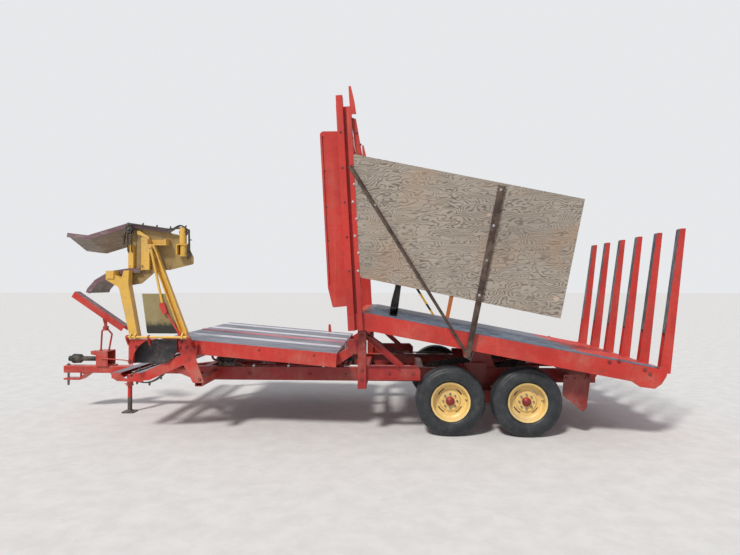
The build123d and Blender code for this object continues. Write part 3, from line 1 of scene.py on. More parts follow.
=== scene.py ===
"""Looks of a self-loading hay wagon: paint, worn steel, plywood, rubber, fittings and lines."""

import math

import bpy
from mathutils import Matrix, Vector


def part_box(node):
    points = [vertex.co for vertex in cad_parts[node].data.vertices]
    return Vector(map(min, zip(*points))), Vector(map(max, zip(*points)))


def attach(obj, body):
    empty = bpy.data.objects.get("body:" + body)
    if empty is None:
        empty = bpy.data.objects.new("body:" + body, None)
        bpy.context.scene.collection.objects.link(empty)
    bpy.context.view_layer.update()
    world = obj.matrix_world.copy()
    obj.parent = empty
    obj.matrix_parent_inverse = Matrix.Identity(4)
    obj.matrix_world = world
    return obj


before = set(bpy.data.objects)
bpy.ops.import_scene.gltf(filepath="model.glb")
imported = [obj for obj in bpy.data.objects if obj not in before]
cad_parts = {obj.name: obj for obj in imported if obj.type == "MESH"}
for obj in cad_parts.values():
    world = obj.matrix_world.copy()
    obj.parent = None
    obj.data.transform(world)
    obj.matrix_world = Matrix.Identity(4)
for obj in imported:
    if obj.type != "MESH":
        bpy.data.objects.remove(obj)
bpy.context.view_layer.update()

bl_info = {
    "name": "Hay Wagon",
    "version": (1, 0, 0),
    "blender": (4, 5, 0),
    "location": "View3D > Sidebar > Hay Wagon",
    "description": "Finishes, fittings and lines of a self-loading hay wagon",
    "category": "Add Mesh",
}

# Places in metres: X to the rear, Y to the wagon's right, Z up
AXLE_X = {"front": 1.24, "rear": 2.034}
AXLE_Z = 0.3625
SIDES = {"left": -1, "right": 1}
FRAME_TOP = 0.650
CHUTE_CHAIN_Y = -1.172
TABLE_REAR = (0.055, 0.871)
TABLE_SLOPE = math.radians(4.9)
PLYWOOD_TILT = 11.66
ACROSS = (math.radians(90), 0, 0)


def colour(name, text, value):
    """A colour that the user can change."""
    return bpy.props.FloatVectorProperty(
        name=name, description=text, subtype="COLOR", size=3, min=0, max=1, default=value
    )


def length(name, text, value):
    """A length that the user can change."""
    return bpy.props.FloatProperty(
        name=name, description=text, subtype="DISTANCE", unit="LENGTH", default=value
    )


class HayWagonPaint(bpy.types.PropertyGroup):
    """Colours of the wagon's finishes"""

    red: colour("Red", "Chassis and rack paint", (0.56, 0.032, 0.022))
    red_shade: colour("Dark red", "Old paint under the dust", (0.23, 0.014, 0.014))
    red_chalk: colour("Chalked red", "Paint bleached on top faces", (0.66, 0.13, 0.09))
    yellow: colour("Yellow", "Loader paint", (0.80, 0.47, 0.075))
    yellow_shade: colour("Dark yellow", "Grimy loader paint", (0.42, 0.25, 0.06))
    # Olive stands for the loader's yellow in shade: painted shade.
    painted_shade_olive: colour("Olive", "Loader paint in its dirt", (0.27, 0.20, 0.085))
    rim: colour("Rim", "Wheel paint", (0.82, 0.57, 0.19))
    steel: colour("Deck steel", "Bale-polished steel of the rack", (0.075, 0.105, 0.16))
    bright_steel: colour("Bright steel", "Steel rubbed bright", (0.27, 0.32, 0.39))
    table_steel: colour("Table steel", "Scuffed steel of the tables", (0.14, 0.145, 0.19))
    # The white and pink strip tones are painted highlight on the lit edges of the table's ribs.
    strip_highlight_white: colour("White strip", "Slippery strip on the table", (0.62, 0.62, 0.68))
    strip_highlight_pink: colour("Pink strip", "Slippery strip with old paint", (0.58, 0.16, 0.20))
    purple: colour("Purple brown", "Red paint rubbed thin by bales", (0.16, 0.085, 0.10))
    black: colour("Black", "Black paint of pipes and frames", (0.014, 0.014, 0.016))
    rust: colour("Rust", "Rust and rusty water marks", (0.17, 0.065, 0.03))
    dust: colour("Dust", "Road and field dust", (0.42, 0.34, 0.25))
    wood: colour("Wood", "Weathered plywood", (0.36, 0.30, 0.245))
    wood_dark: colour("Wood grain", "Dark late wood of the plywood", (0.085, 0.066, 0.055))
    rubber: colour("Rubber", "Tyre rubber", (0.020, 0.023, 0.027))


class HayWagonFittings(bpy.types.PropertyGroup):
    """Sizes of the wagon's small fittings"""

    bolt: length("Bolt", "Width across the flats of a bolt's head", 0.022)
    small_bolt: length("Small bolt", "Width across the flats of a light bolt's head", 0.014)
    clamp_bolt: length("Clamp bolt", "Width across the flats of a pipe clamp's bolt", 0.012)
    pipe: length("Pipe", "Outside diameter of a hydraulic pipe", 0.016)
    drive_pipe: length("Drive pipe", "Outside diameter of the loader's oil pipes", 0.013)
    chain_pitch: length("Chain pitch", "Length of one link of the loader's chain", 0.030)
    chain_wheel: length("Chain wheel", "Radius of the loader's chain wheels without their teeth", 0.040)
    clip: length("Clip", "Diameter of a hairpin's wire", 0.006)


class Tree:
    """A node tree: each call adds nodes and returns the socket that the next call reads."""

    def __init__(self, tree):
        self.nodes = tree.nodes
        self.links = tree.links

    def put(self, socket, value):
        """Links a socket, or sets its constant."""
        if isinstance(value, bpy.types.NodeSocket):
            self.links.new(value, socket)
        else:
            socket.default_value = value

    def add(self, kind, **inputs):
        """A new node, its named inputs linked or set."""
        node = self.nodes.new("ShaderNode" + kind)
        for name, value in inputs.items():
            self.put(node.inputs[name], value)
        return node

    def worked(self, operation, first, second=0.0, clamp=False):
        """One operation on two values."""
        node = self.add("Math")
        node.operation = operation
        node.use_clamp = clamp
        self.put(node.inputs[0], first)
        self.put(node.inputs[1], second)
        return node.outputs[0]

    def mixed(self, mask, below, above):
        """One colour below, another where the mask is 1."""
        node = self.add("Mix")
        node.data_type = "RGBA"
        self.put(node.inputs[0], mask)
        for socket, value in ((node.inputs[6], below), (node.inputs[7], above)):
            self.put(socket, value if isinstance(value, bpy.types.NodeSocket) else (*value, 1.0))
        return node.outputs[2]


class Finish(Tree):
    """One procedural finish on the piece's own coordinates."""

    def __init__(self, name, metallic=0.0, specular=0.5):
        self.material = bpy.data.materials.new(name)
        self.material.use_nodes = True
        super().__init__(self.material.node_tree)
        self.shader = self.nodes["Principled BSDF"]
        self.shader.inputs["Metallic"].default_value = metallic
        self.shader.inputs["Specular IOR Level"].default_value = specular
        coordinates = self.add("TexCoord")
        self.place = coordinates.outputs["Object"]
        self.normal = coordinates.outputs["Normal"]
        self.colours = bpy.context.scene.hay_wagon_paint

    def turned(self, stretch, turn=(0, 0, 0), move=(0, 0, 0)):
        """The place on the piece, stretched, turned in degrees and moved."""
        angles = [math.radians(angle) for angle in turn]
        node = self.add("Mapping", Vector=self.place, Location=move, Rotation=angles, Scale=stretch)
        return node.outputs[0]

    def noise(self, scale, detail=4, stretch=(1, 1, 1), turn=(0, 0, 0), move=(0, 0, 0), roughness=0.6):
        """Cloudy noise from 0 to 1."""
        place = self.turned(stretch, turn, move)
        node = self.add("TexNoise", Vector=place, Scale=scale, Detail=detail, Roughness=roughness)
        return node.outputs["Fac"]

    def cells(self, scale, stretch):
        """Distance to scattered points."""
        return self.add("TexVoronoi", Vector=self.turned(stretch), Scale=scale).outputs["Distance"]

    def times(self, first, second, clamp=False):
        """The product of two values."""
        return self.worked("MULTIPLY", first, second, clamp)

    def plus(self, first, second, clamp=False):
        """The sum of two values."""
        return self.worked("ADD", first, second, clamp)

    def band(self, value, low, high, start=0.0, end=1.0):
        """A soft step from start to end while the value goes from low to high."""
        inputs = {"Value": value, "From Min": low, "From Max": high, "To Min": start, "To Max": end}
        node = self.add("MapRange", **inputs)
        node.interpolation_type = "SMOOTHSTEP"
        return node.outputs["Result"]

    def along(self, axis, vector=None):
        """One coordinate of the place, or of another vector."""
        return self.add("SeparateXYZ", Vector=vector or self.place).outputs[axis]

    def leaning(self, first, second, low, high):
        """A soft step by how nearly two directions agree."""
        node = self.add("VectorMath")
        node.operation = "DOT_PRODUCT"
        self.put(node.inputs[0], first)
        self.put(node.inputs[1], second)
        return self.band(node.outputs["Value"], low, high)

    def facing(self, direction, low, high):
        """1 on faces that look in a direction."""
        return self.leaning(self.normal, direction, low, high)

    def edges(self, radius):
        """1 along sharp edges, by how far a rounded normal leans from the flat one."""
        bevel = self.add("Bevel", Radius=radius)
        bevel.samples = 4
        return self.leaning(bevel.outputs[0], self.add("NewGeometry").outputs["Normal"], 0.97, 0.80)

    def spotted(self, base, tone, scale, low, high, amount=1.0, detail=5, **noise):
        """A colour with another laid over it in cloudy spots."""
        return self.mixed(self.band(self.noise(scale, detail, **noise), low, high, 0.0, amount), base, tone)

    def dusted(self, height, fine):
        """Bump made of half a height and a fine grain."""
        return self.plus(self.times(height, 0.5), self.noise(fine, 3))

    def level(self, mask, below, above):
        """A value that goes from one number to another with the mask."""
        return self.band(mask, 0.0, 1.0, below, above)

    def done(self, base, roughness, height, strength, distance=0.002, metallic=None):
        """Joins colour, roughness, metal and bump to the shader."""
        self.put(self.shader.inputs["Base Color"], base)
        self.put(self.shader.inputs["Roughness"], roughness)
        if metallic is not None:
            self.put(self.shader.inputs["Metallic"], metallic)
        bump = self.add("Bump", Height=height, Strength=strength, Distance=distance)
        self.links.new(bump.outputs[0], self.shader.inputs["Normal"])
        return self.material


def paint_finish(name, tones, grime=0.35, bare=0.12, streak=(0.15, 1, 1), worn_side=None, low_dirt=True):
    """Old farm paint: bleached above, scratched along its run, worn to steel on edges, dusty below."""
    fresh, old, chalk = tones
    f = Finish(name, specular=0.45)
    base = f.spotted(fresh, old, 1.7, 0.38, 0.78, 0.5, move=(3, 1, 2))
    base = f.spotted(base, chalk, 16, 0.48, 0.78, 0.35, 4, stretch=(1, 1, 0.07), move=(2, 6, 3))
    bleached = f.band(f.noise(5, 6), 0.3, 0.65, 0.35, 0.95)
    base = f.mixed(f.times(f.facing((0, 0, 1), 0.3, 0.95), bleached), base, chalk)
    base = f.spotted(base, old, 38, 0.45, 0.8, 0.30, 3, move=(9, 4, 7))
    lines = f.band(f.noise(60, 4, stretch=streak, move=(2, 8, 5), roughness=0.75), 0.64, 0.70)
    field = f.band(f.noise(1.3, 3, move=(5, 2, 9)), 0.5 - bare, 0.78 - bare)
    scratch = f.times(lines, field, clamp=True)
    edge = f.times(f.edges(0.006), f.band(f.noise(22, 4), 0.42, 0.62), clamp=True)
    grains = f.band(f.noise(16, 6, move=(1, 1, 7)), 0.60, 0.72)
    rust_spot = f.times(grains, f.band(f.noise(2.4, 2), 0.4, 0.65), clamp=True)
    base = f.mixed(rust_spot, base, f.colours.rust)
    metal = f.worked("MAXIMUM", scratch, edge)
    if worn_side:
        rubbed = f.band(f.noise(3, 6, move=(4, 4, 1)), 0.28, 0.50)
        side = f.times(f.facing(worn_side, 0.6, 0.85), rubbed)
        metal = f.worked("MAXIMUM", metal, side)
    bare_colour = f.spotted(f.colours.steel, f.colours.rust, 9, 0.4, 0.65, move=(7, 7, 2))
    base = f.mixed(metal, base, bare_colour)
    dirt = f.band(f.noise(3.1, 7, move=(6, 3, 3), roughness=0.7), 0.42, 0.85, 0.0, grime)
    if low_dirt:
        dirt = f.times(dirt, f.band(f.along("Z"), 0.2, 1.6, 1.7, 0.75), clamp=True)
    base = f.mixed(dirt, base, f.colours.dust)
    rough = f.plus(f.level(metal, 0.38, 0.50), f.times(dirt, 0.6), clamp=True)
    height = f.plus(f.times(f.noise(140, 3), 0.25), f.times(metal, -0.5))
    return f.done(base, rough, height, 0.25, 0.0012, f.times(metal, 0.6))


def steel_finish(name, dark, bright, run=(0.05, 1, 1), rusty=0.4, roughness=(0.28, 0.55), metallic=0.75):
    """Bare steel rubbed along its run by bales, with brown water marks."""
    f = Finish(name, metallic=metallic)
    rub = f.noise(26, 6, stretch=run, roughness=0.72)
    base = f.mixed(f.band(rub, 0.35, 0.72), dark, bright)
    marks = f.band(f.noise(2.2, 7, move=(3, 3, 3), roughness=0.7), 0.52, 0.78, 0.0, rusty)
    base = f.mixed(marks, base, f.colours.rust)
    base = f.spotted(base, f.colours.dust, 5.5, 0.5, 0.85, 0.35, move=(8, 1, 1))
    polish = f.band(rub, 0.3, 0.8, roughness[1], roughness[0])
    rough = f.plus(polish, f.times(marks, 0.5), clamp=True)
    return f.done(base, rough, f.dusted(rub, 90), 0.2, 0.001)


def plywood_finish(name):
    """Weathered fir plywood: nested bands of late wood, silvered fibres, thin checks, layered edges."""
    f = Finish(name, specular=0.2)
    tilted = (0, PLYWOOD_TILT, 0)
    silvered = (0.50, 0.47, 0.43)
    stained = (0.17, 0.145, 0.125)
    warm = (0.42, 0.27, 0.17)
    knot_tone = (0.56, 0.42, 0.33)
    crack = (0.05, 0.04, 0.035)
    ply_thick = 0.0024
    figure = f.noise(2.6, 3, stretch=(0.62, 1, 1.45), turn=tilted, roughness=0.5)
    wobble = f.noise(13, 3, stretch=(0.4, 1, 1), turn=tilted)
    rings = f.plus(f.times(figure, 200.0), f.times(wobble, 9.0))
    wave = f.times(f.plus(f.worked("SINE", rings), 1.0), 0.5)
    late = f.band(wave, 0.40, 1.0, 0.0, f.band(f.noise(2.1, 3, move=(8, 2, 4)), 0.3, 0.7, 0.55, 0.9))
    fibre = f.noise(120, 4, stretch=(0.05, 1, 1), turn=tilted, roughness=0.7)
    base = f.mixed(late, f.colours.wood, f.colours.wood_dark)
    base = f.mixed(f.band(fibre, 0.38, 0.70, 0.0, 0.45), base, silvered)
    base = f.spotted(base, stained, 1.1, 0.42, 0.75, 0.5, move=(4, 2, 6))
    base = f.spotted(base, warm, 1.6, 0.48, 0.72, 0.45, 4, move=(1, 7, 5))
    knot = f.band(f.cells(2.3, (0.8, 0.4, 1)), 0.070, 0.035, 0.0, 0.85)
    base = f.mixed(knot, base, knot_tone)
    check_lines = f.noise(75, 2, stretch=(0.03, 1, 1), turn=tilted, move=(5, 5, 5))
    check = f.band(check_lines, 0.66, 0.72, 0.0, 0.8)
    base = f.mixed(check, base, crack)
    side = f.worked("ABSOLUTE", f.along("Y", f.normal))
    ply = f.worked("SINE", f.times(f.along("Y"), math.pi / ply_thick))
    layers = f.mixed(f.band(ply, -0.3, 0.3), (0.33, 0.26, 0.19), (0.12, 0.09, 0.07))
    base = f.mixed(f.band(side, 0.8, 0.4), base, layers)
    height = f.worked("SUBTRACT", f.times(fibre, 0.6), f.plus(late, check))
    return f.done(base, f.band(fibre, 0.2, 0.8, 0.75, 0.95), height, 0.5, 0.002)


def rubber_finish(name):
    """Old tyre rubber, greyed and dusty."""
    f = Finish(name, specular=0.3)
    greyed = (0.038, 0.042, 0.048)
    pale_dust = (0.20, 0.19, 0.175)
    base = f.spotted(f.colours.rubber, greyed, 6, 0.35, 0.7, detail=6)
    dust = f.band(f.noise(11, 6, move=(2, 2, 2), roughness=0.7), 0.45, 0.85, 0.02, 0.35)
    base = f.mixed(dust, base, pale_dust)
    height = f.plus(f.noise(170, 3), f.times(f.noise(30, 3), 0.6))
    return f.done(base, f.band(dust, 0.0, 0.4, 0.42, 0.85), height, 0.25, 0.0012)


def dull_finish(name, dark, light, roughness=0.6, metallic=0.0, dusty=0.4, grain=80):
    """A dark painted, cast or moulded surface with dust on it in patches."""
    f = Finish(name, metallic=metallic, specular=0.35)
    base = f.spotted(dark, light, 14, 0.35, 0.7)
    dust = f.band(f.noise(4.5, 6, move=(1, 5, 3), roughness=0.7), 0.42, 0.8, 0.0, dusty)
    base = f.mixed(dust, base, f.colours.dust)
    gloss = f.band(f.noise(25, 3), 0.3, 0.7, roughness - 0.1, roughness + 0.1)
    return f.done(base, f.plus(gloss, dust, clamp=True), f.noise(grain, 4), 0.3, 0.0015)


def rack_deck_finish(name):
    """Blue-grey rack deck: polished by bales, paler grey on its far half as painted sheen, with red paint
    left at its low end.
    """
    f = Finish(name)
    far_sheen_grey = (0.30, 0.29, 0.33)
    rub = f.noise(26, 6, stretch=(0.05, 1, 1), roughness=0.72)
    base = f.mixed(f.band(rub, 0.35, 0.72), f.colours.steel, f.colours.bright_steel)
    # Painted sheen: the far half of the deck fades to pale grey.
    base = f.mixed(f.band(f.along("Y"), 0.02, 0.12, 0.0, 0.55), base, far_sheen_grey)
    marks = f.band(f.noise(2.2, 7, move=(3, 3, 3), roughness=0.7), 0.54, 0.80, 0.0, 0.4)
    base = f.mixed(marks, base, f.colours.rust)
    ragged = f.times(f.noise(3.5, 5, stretch=(0.35, 1, 1)), 0.9)
    low_end = f.band(f.plus(f.along("X"), ragged), 3.02, 3.16)
    left = f.times(low_end, f.band(f.along("Y"), -1.02, -0.95))
    paint = f.mixed(f.band(rub, 0.45, 0.75, 0.0, 0.5), f.colours.red, f.colours.red_chalk)
    base = f.mixed(left, base, paint)
    rough = f.plus(f.band(rub, 0.3, 0.8, 0.5, 0.26), f.times(marks, 0.5), clamp=True)
    return f.done(base, rough, f.dusted(rub, 90), 0.2, 0.001, f.level(left, 0.75, 0.0))


def scuffed_finish(name, ground, scuff, run=(1, 1, 1), roughness=0.55, metallic=0.2, amount=0.5):
    """Paint or plate rubbed through by bales: long scuffs, rust in patches, dull between."""
    f = Finish(name, metallic=metallic, specular=0.4)
    rub = f.noise(30, 6, stretch=run, roughness=0.75)
    field = f.band(f.noise(3.2, 4, move=(2, 4, 8)), 0.62 - amount * 0.4, 0.80 - amount * 0.3)
    mask = f.times(f.band(rub, 0.42, 0.70), field, clamp=True)
    base = f.mixed(mask, ground, scuff)
    patch = f.band(f.noise(9, 6, move=(7, 1, 5), roughness=0.7), 0.54, 0.72, 0.0, 0.55)
    base = f.mixed(patch, base, f.colours.rust)
    base = f.spotted(base, f.colours.dust, 5, 0.5, 0.85, 0.35, move=(3, 9, 1))
    gloss = f.level(mask, roughness, roughness - 0.2)
    rough = f.plus(gloss, f.times(patch, 0.4), clamp=True)
    return f.done(base, rough, f.dusted(rub, 110), 0.25, 0.001)


def apron_finish(name):
    """Apron sheet: the loader's yellow laid down as olive all over as painted shade, black along its foot.
    """
    f = Finish(name, specular=0.4)
    pale_painted_shade_olive = (0.30, 0.25, 0.125)
    bare = (0.40, 0.39, 0.37)
    cloud = f.noise(7, 5, move=(4, 4, 4))
    # Painted shade: two olive tones in clouds in place of the sunless yellow.
    base = f.mixed(f.band(cloud, 0.35, 0.7), pale_painted_shade_olive, f.colours.painted_shade_olive)
    # The sheet goes black towards its foot, ragged at the top of the black.
    ragged = f.plus(f.along("Z"), f.times(f.noise(16, 5, roughness=0.7), 0.14))
    black_foot = f.band(ragged, 1.30, 1.22, 0.0, 0.95)
    base = f.mixed(black_foot, base, f.colours.black)
    base = f.spotted(base, bare, 70, 0.66, 0.72, 0.6, 4, stretch=(1, 1, 0.12), roughness=0.75)
    return f.done(base, f.level(black_foot, 0.6, 0.35), f.dusted(cloud, 120), 0.25, 0.0012)


def strip_finish(name, tone, stain):
    """A slippery strip: pale as painted highlight of a lit rib edge, scuffed along its run, grey with dirt
    and worn through in places.
    """
    f = Finish(name)
    rub = f.noise(40, 5, stretch=(0.06, 1, 1), roughness=0.7)
    base = f.mixed(f.band(rub, 0.45, 0.75, 0.0, 0.5), tone, stain)
    field = f.band(f.noise(1.7, 5, move=(6, 2, 2)), 0.52, 0.66)
    worn = f.times(f.band(rub, 0.5, 0.62), field, clamp=True)
    base = f.mixed(worn, base, f.colours.table_steel)
    base = f.spotted(base, f.colours.dust, 8, 0.5, 0.8, 0.4, 6, move=(1, 3, 9), roughness=0.7)
    return f.done(base, f.band(rub, 0.3, 0.8, 0.55, 0.35), f.plus(rub, f.noise(90, 3)), 0.2, 0.001)


def leg_finish(name):
    """Jack leg: red above, rubbed and rusted to dark steel where it slides and stands."""
    f = Finish(name, specular=0.45)
    oily, rubbed = (0.045, 0.038, 0.036), (0.17, 0.15, 0.14)
    paint_edge = 0.215
    rub = f.noise(40, 5, stretch=(1, 1, 0.1), roughness=0.7)
    dark = f.mixed(f.band(rub, 0.35, 0.7), oily, rubbed)
    dark = f.spotted(dark, f.colours.rust, 18, 0.5, 0.7, 0.6, move=(2, 2, 6))
    red = f.mixed(f.band(rub, 0.5, 0.8, 0.0, 0.6), f.colours.red, f.colours.red_shade)
    ragged = f.plus(f.along("Z"), f.times(f.noise(30, 4), 0.05))
    painted = f.band(ragged, paint_edge - 0.01, paint_edge + 0.01)
    return f.done(f.mixed(painted, dark, red), f.level(painted, 0.6, 0.4), rub, 0.25, 0.001)


def shadow_banded_finish(name, tone, dark):
    """Yellow paint with black bands of painted shadow across a leaning bar, ragged at the bands' ends and
    rusty.
    """
    f = Finish(name, specular=0.45)
    waves = 26.0
    ragged = f.plus(f.along("Z"), f.times(f.noise(35, 4), 0.03))
    wave = f.worked("SINE", f.times(ragged, waves))
    # Painted shadow: the dark tone laid in bands across the yellow.
    base = f.mixed(f.band(wave, 0.25, 0.45), tone, dark)
    rust = f.band(f.noise(22, 5, move=(3, 3, 5), roughness=0.7), 0.58, 0.70, 0.0, 0.8)
    base = f.mixed(rust, base, f.colours.rust)
    return f.done(base, f.level(rust, 0.45, 0.85), f.noise(120, 3), 0.2, 0.001)


def made(name):
    """A finish that an earlier step made."""
    return bpy.data.materials[name]


def wear(finish, *names):
    """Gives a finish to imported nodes."""
    for name in names:
        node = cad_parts.get(name)
        if node is None:
            raise RuntimeError(f"the frame has no node {name}")
        node.data.materials.clear()
        node.data.materials.append(finish)
        for face in node.data.polygons:
            face.material_index = 0


def wear_where(finish, test, *names):
    """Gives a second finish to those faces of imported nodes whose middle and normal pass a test."""
    for name in names:
        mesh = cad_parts[name].data
        mesh.materials.append(finish)
        for face in mesh.polygons:
            if test(face.center, face.normal):
                face.material_index = len(mesh.materials) - 1


def above_table(place):
    """How far a place stands above the second table's sheet."""
    rear_x, rear_z = TABLE_REAR
    return place.z - (rear_z + (rear_x - place.x) * math.tan(TABLE_SLOPE))


def deselect():
    bpy.ops.object.select_all(action="DESELECT")


def pick_faces(piece, test):
    """Opens a piece in edit mode with those faces selected whose middle and normal pass a test."""
    deselect()
    piece.select_set(True)
    bpy.context.view_layer.objects.active = piece
    bpy.context.tool_settings.mesh_select_mode = (False, False, True)
    for item in (*piece.data.vertices, *piece.data.edges):
        item.select = False
    for face in piece.data.polygons:
        face.select = test(face.center, face.normal)
    bpy.ops.object.mode_set(mode="EDIT")


def close_edit():
    bpy.ops.object.mode_set(mode="OBJECT")


def box_piece(middle, size):
    """A started block."""
    bpy.ops.mesh.primitive_cube_add(size=1, location=middle, scale=size)
    bpy.ops.object.transform_apply()
    return bpy.context.object


def cylinder(sides, radius, depth, middle, turn=(0, 0, 0)):
    """A started round piece."""
    bpy.ops.mesh.primitive_cylinder_add(
        vertices=sides, radius=radius, depth=depth, location=middle, rotation=turn
    )
    bpy.ops.object.transform_apply()
    return bpy.context.object


def raise_ends(piece, axis, inset, rise):
    """Chamfers the flat ends of a round piece: each is inset and moved out."""
    pick_faces(piece, lambda middle, normal: abs(normal.dot(Vector(axis))) > 0.95)
    bpy.ops.mesh.inset(thickness=inset, depth=rise, use_individual=True)
    close_edit()
    return piece


def soft_block(low, high, bevel):
    """A block between two corners, its edges rounded and its top face panelled."""
    piece = box_piece([(a + b) / 2 for a, b in zip(low, high)], [b - a for a, b in zip(low, high)])
    pick_faces(piece, lambda middle, normal: True)
    bpy.ops.mesh.bevel(offset=bevel, segments=2, affect="EDGES")
    close_edit()
    pick_faces(piece, lambda middle, normal: normal.z > 0.99)
    bpy.ops.mesh.inset(thickness=bevel, depth=-bevel / 3)
    close_edit()
    return piece


def joined(pieces):
    """Several pieces as one."""
    deselect()
    for piece in pieces:
        piece.select_set(True)
    bpy.context.view_layer.objects.active = pieces[0]
    if len(pieces) > 1:
        bpy.ops.object.join()
    return bpy.context.object


def finished(piece, name, body, finish):
    """Closes a piece's seams, turns its faces outwards, and gives it its name, finish and body."""
    piece.name = name
    pick_faces(piece, lambda middle, normal: True)
    bpy.ops.mesh.remove_doubles(threshold=0.00001)
    bpy.ops.mesh.normals_make_consistent()
    close_edit()
    bpy.ops.object.shade_smooth_by_angle(angle=math.radians(35))
    piece.data.materials.clear()
    piece.data.materials.append(finish)
    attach(piece, body)
    deselect()


def hex_bolt(across):
    """A hexagon head on its washer, standing on the origin along Z."""
    upright = (0, 0, 1)
    washer_high, head_high = across * 0.13, across * 0.55
    washer = cylinder(16, across * 0.92, washer_high, (0, 0, washer_high / 2))
    washer = raise_ends(washer, upright, across * 0.05, across * 0.02)
    head = cylinder(6, across * 0.577, head_high, (0, 0, washer_high + head_high / 2))
    return joined([raise_ends(head, upright, across * 0.07, across * 0.05), washer])


def copy_of(master, place):
    """A copy of a master with its own mesh, at a place given as a matrix."""
    copy = master.copy()
    copy.data = master.data.copy()
    bpy.context.collection.objects.link(copy)
    copy.matrix_world = place
    deselect()
    copy.select_set(True)
    bpy.context.view_layer.objects.active = copy
    bpy.ops.object.transform_apply()
    return copy


def repeated(master, places):
    """Copies of a master at their places, as one piece; the master goes."""
    copies = [copy_of(master, place) for place in places]
    bpy.data.objects.remove(master)
    return joined(copies)


def stamped(master, seats):
    """Copies of a master standing on their seats, each turned a little further than the last."""
    places = []
    for number, (place, direction) in enumerate(seats):
        upright = direction.to_track_quat("Z", "Y").to_matrix().to_4x4()
        places.append(Matrix.Translation(place) @ upright @ Matrix.Rotation(0.7 * number, 4, "Z"))
    return repeated(master, places)


def bolts(across, seats, name, body, finish):
    """Bolt heads on their seats as one finished piece."""
    finished(stamped(hex_bolt(across), seats), name, body, finish)


def shifts(*places):
    """Matrices that move a piece from the origin to each place."""
    return [Matrix.Translation(place) for place in places]


def seat(node, start, towards):
    """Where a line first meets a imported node, and the way that face looks."""
    met, place, normal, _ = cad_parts[node].ray_cast(Vector(start), Vector(towards))
    if not met:
        raise RuntimeError(f"no face of {node} from {start}")
    return place, normal


def side_seats(node, points, sides=(-1, 1)):
    """Seats on the outer faces of a node, for points (x, z) on each side of the wagon."""
    names = node if isinstance(node, tuple) else (node, node)
    found = []
    for side in sides:
        for x, z in points:
            found.append(seat(names[side > 0], (x, side * 3, z), (0, -side, 0)))
    return found


def bar(points, radius, steps=6):
    """A round bar along a smooth line through bends near its points, made a mesh with closed ends."""
    while len(points) < 5:
        runs = [(Vector(b) - Vector(a)).length for a, b in zip(points, points[1:])]
        number = runs.index(max(runs))
        middle = (Vector(points[number]) + Vector(points[number + 1])) / 2
        points = [*points[: number + 1], tuple(middle), *points[number + 1:]]
    deselect()
    bpy.ops.curve.primitive_nurbs_path_add(location=(0, 0, 0))
    piece = bpy.context.object
    spline = piece.data.splines[0]
    spline.points.add(len(points) - len(spline.points))
    for point, place in zip(spline.points, points):
        point.co = (*place, 1)
    spline.order_u = 3
    spline.use_endpoint_u = True
    spline.resolution_u = steps
    piece.data.bevel_depth = radius
    piece.data.bevel_resolution = 2
    piece.data.use_fill_caps = True
    bpy.ops.object.convert(target="MESH")
    return bpy.context.object


def red_tones():
    """Fresh, old and bleached red."""
    paint = bpy.context.scene.hay_wagon_paint
    return paint.red, paint.red_shade, paint.red_chalk


def upward(middle, normal):
    """Faces that look up, where bales rub."""
    return normal.z > 0.7


def on_disc(axle, beyond, inner, outer):
    """A test for faces outboard of a wheel's disc, between two distances from its axle."""

    def test(middle, normal):
        distance = math.hypot(middle.x - AXLE_X[axle], middle.z - AXLE_Z)
        return abs(middle.y) > beyond and inner <= distance < outer

    return test


class HAYWAGON_OT_chassis_finishes(bpy.types.Operator):
    """Red paint, rubbed steel, casting and guards of the frame, drawbar, posts and jack"""

    bl_idname = "haywagon.chassis_finishes"
    bl_label = "Chassis finishes"

    def execute(self, context):
        paint = context.scene.hay_wagon_paint
        red = red_tones()
        wear(paint_finish("red_frame", red, grime=0.4, bare=0.1),
             "drawbar", "table_brackets", "loader_mount", "jack_tube", "hose_stand")
        # Painted shade: the frame, posts and rack rests under the tables get a darker red for the shade they
        # stand in.
        shaded = ((0.34, 0.020, 0.018), (0.16, 0.012, 0.013), paint.red)
        wear(paint_finish("red_shaded", shaded, grime=0.3, bare=0.1),
             "main_frame", "table_posts", "rack_rests")
        # Painted shade: the beams, hangers and rear plates under the wagon get the darkest red for the
        # shadow they stand in; bolts, pipes and hub caps reuse this dark red.
        underside_painted_shade = (paint.red_shade, (0.12, 0.012, 0.014), paint.red)
        wear(paint_finish("red_painted_shade", underside_painted_shade, grime=0.25),
             "walking_beams", "tandem_hangers", "rear_plates")
        guide_rail = paint_finish("red_guide_rail", red, grime=0.35, bare=0.2, worn_side=(0.5, 0, 0.85))
        wear(guide_rail, "front_guide_rail")
        rubbed = scuffed_finish(
            "rail_rubbed", paint.purple, (0.36, 0.33, 0.36), run=(0.08, 1, 1), amount=0.8
        )
        wear_where(rubbed, upward, "front_guide_rail")
        outer_plate_y = -1.118
        plate = scuffed_finish("plate_dark", (0.035, 0.034, 0.038), (0.30, 0.30, 0.31), amount=0.45)
        wear_where(plate, lambda middle, normal: middle.y > outer_plate_y and abs(normal.y) > 0.5,
                   "loader_mount")
        wear(steel_finish("jack_steel", (0.14, 0.12, 0.11), (0.32, 0.30, 0.28), run=(1, 1, 0.1), rusty=0.7),
             "hitch_pin")
        wear(leg_finish("jack_leg_two_tone"), "jack_leg")
        wear(dull_finish("guard_plastic", (0.012, 0.012, 0.013), (0.03, 0.03, 0.032), 0.5, dusty=0.5),
             "driveline")
        wear(dull_finish("gear_casting", (0.07, 0.03, 0.022), (0.14, 0.07, 0.05), 0.7, 0.2, 0.7, 45),
             "gearbox")
        return {"FINISHED"}


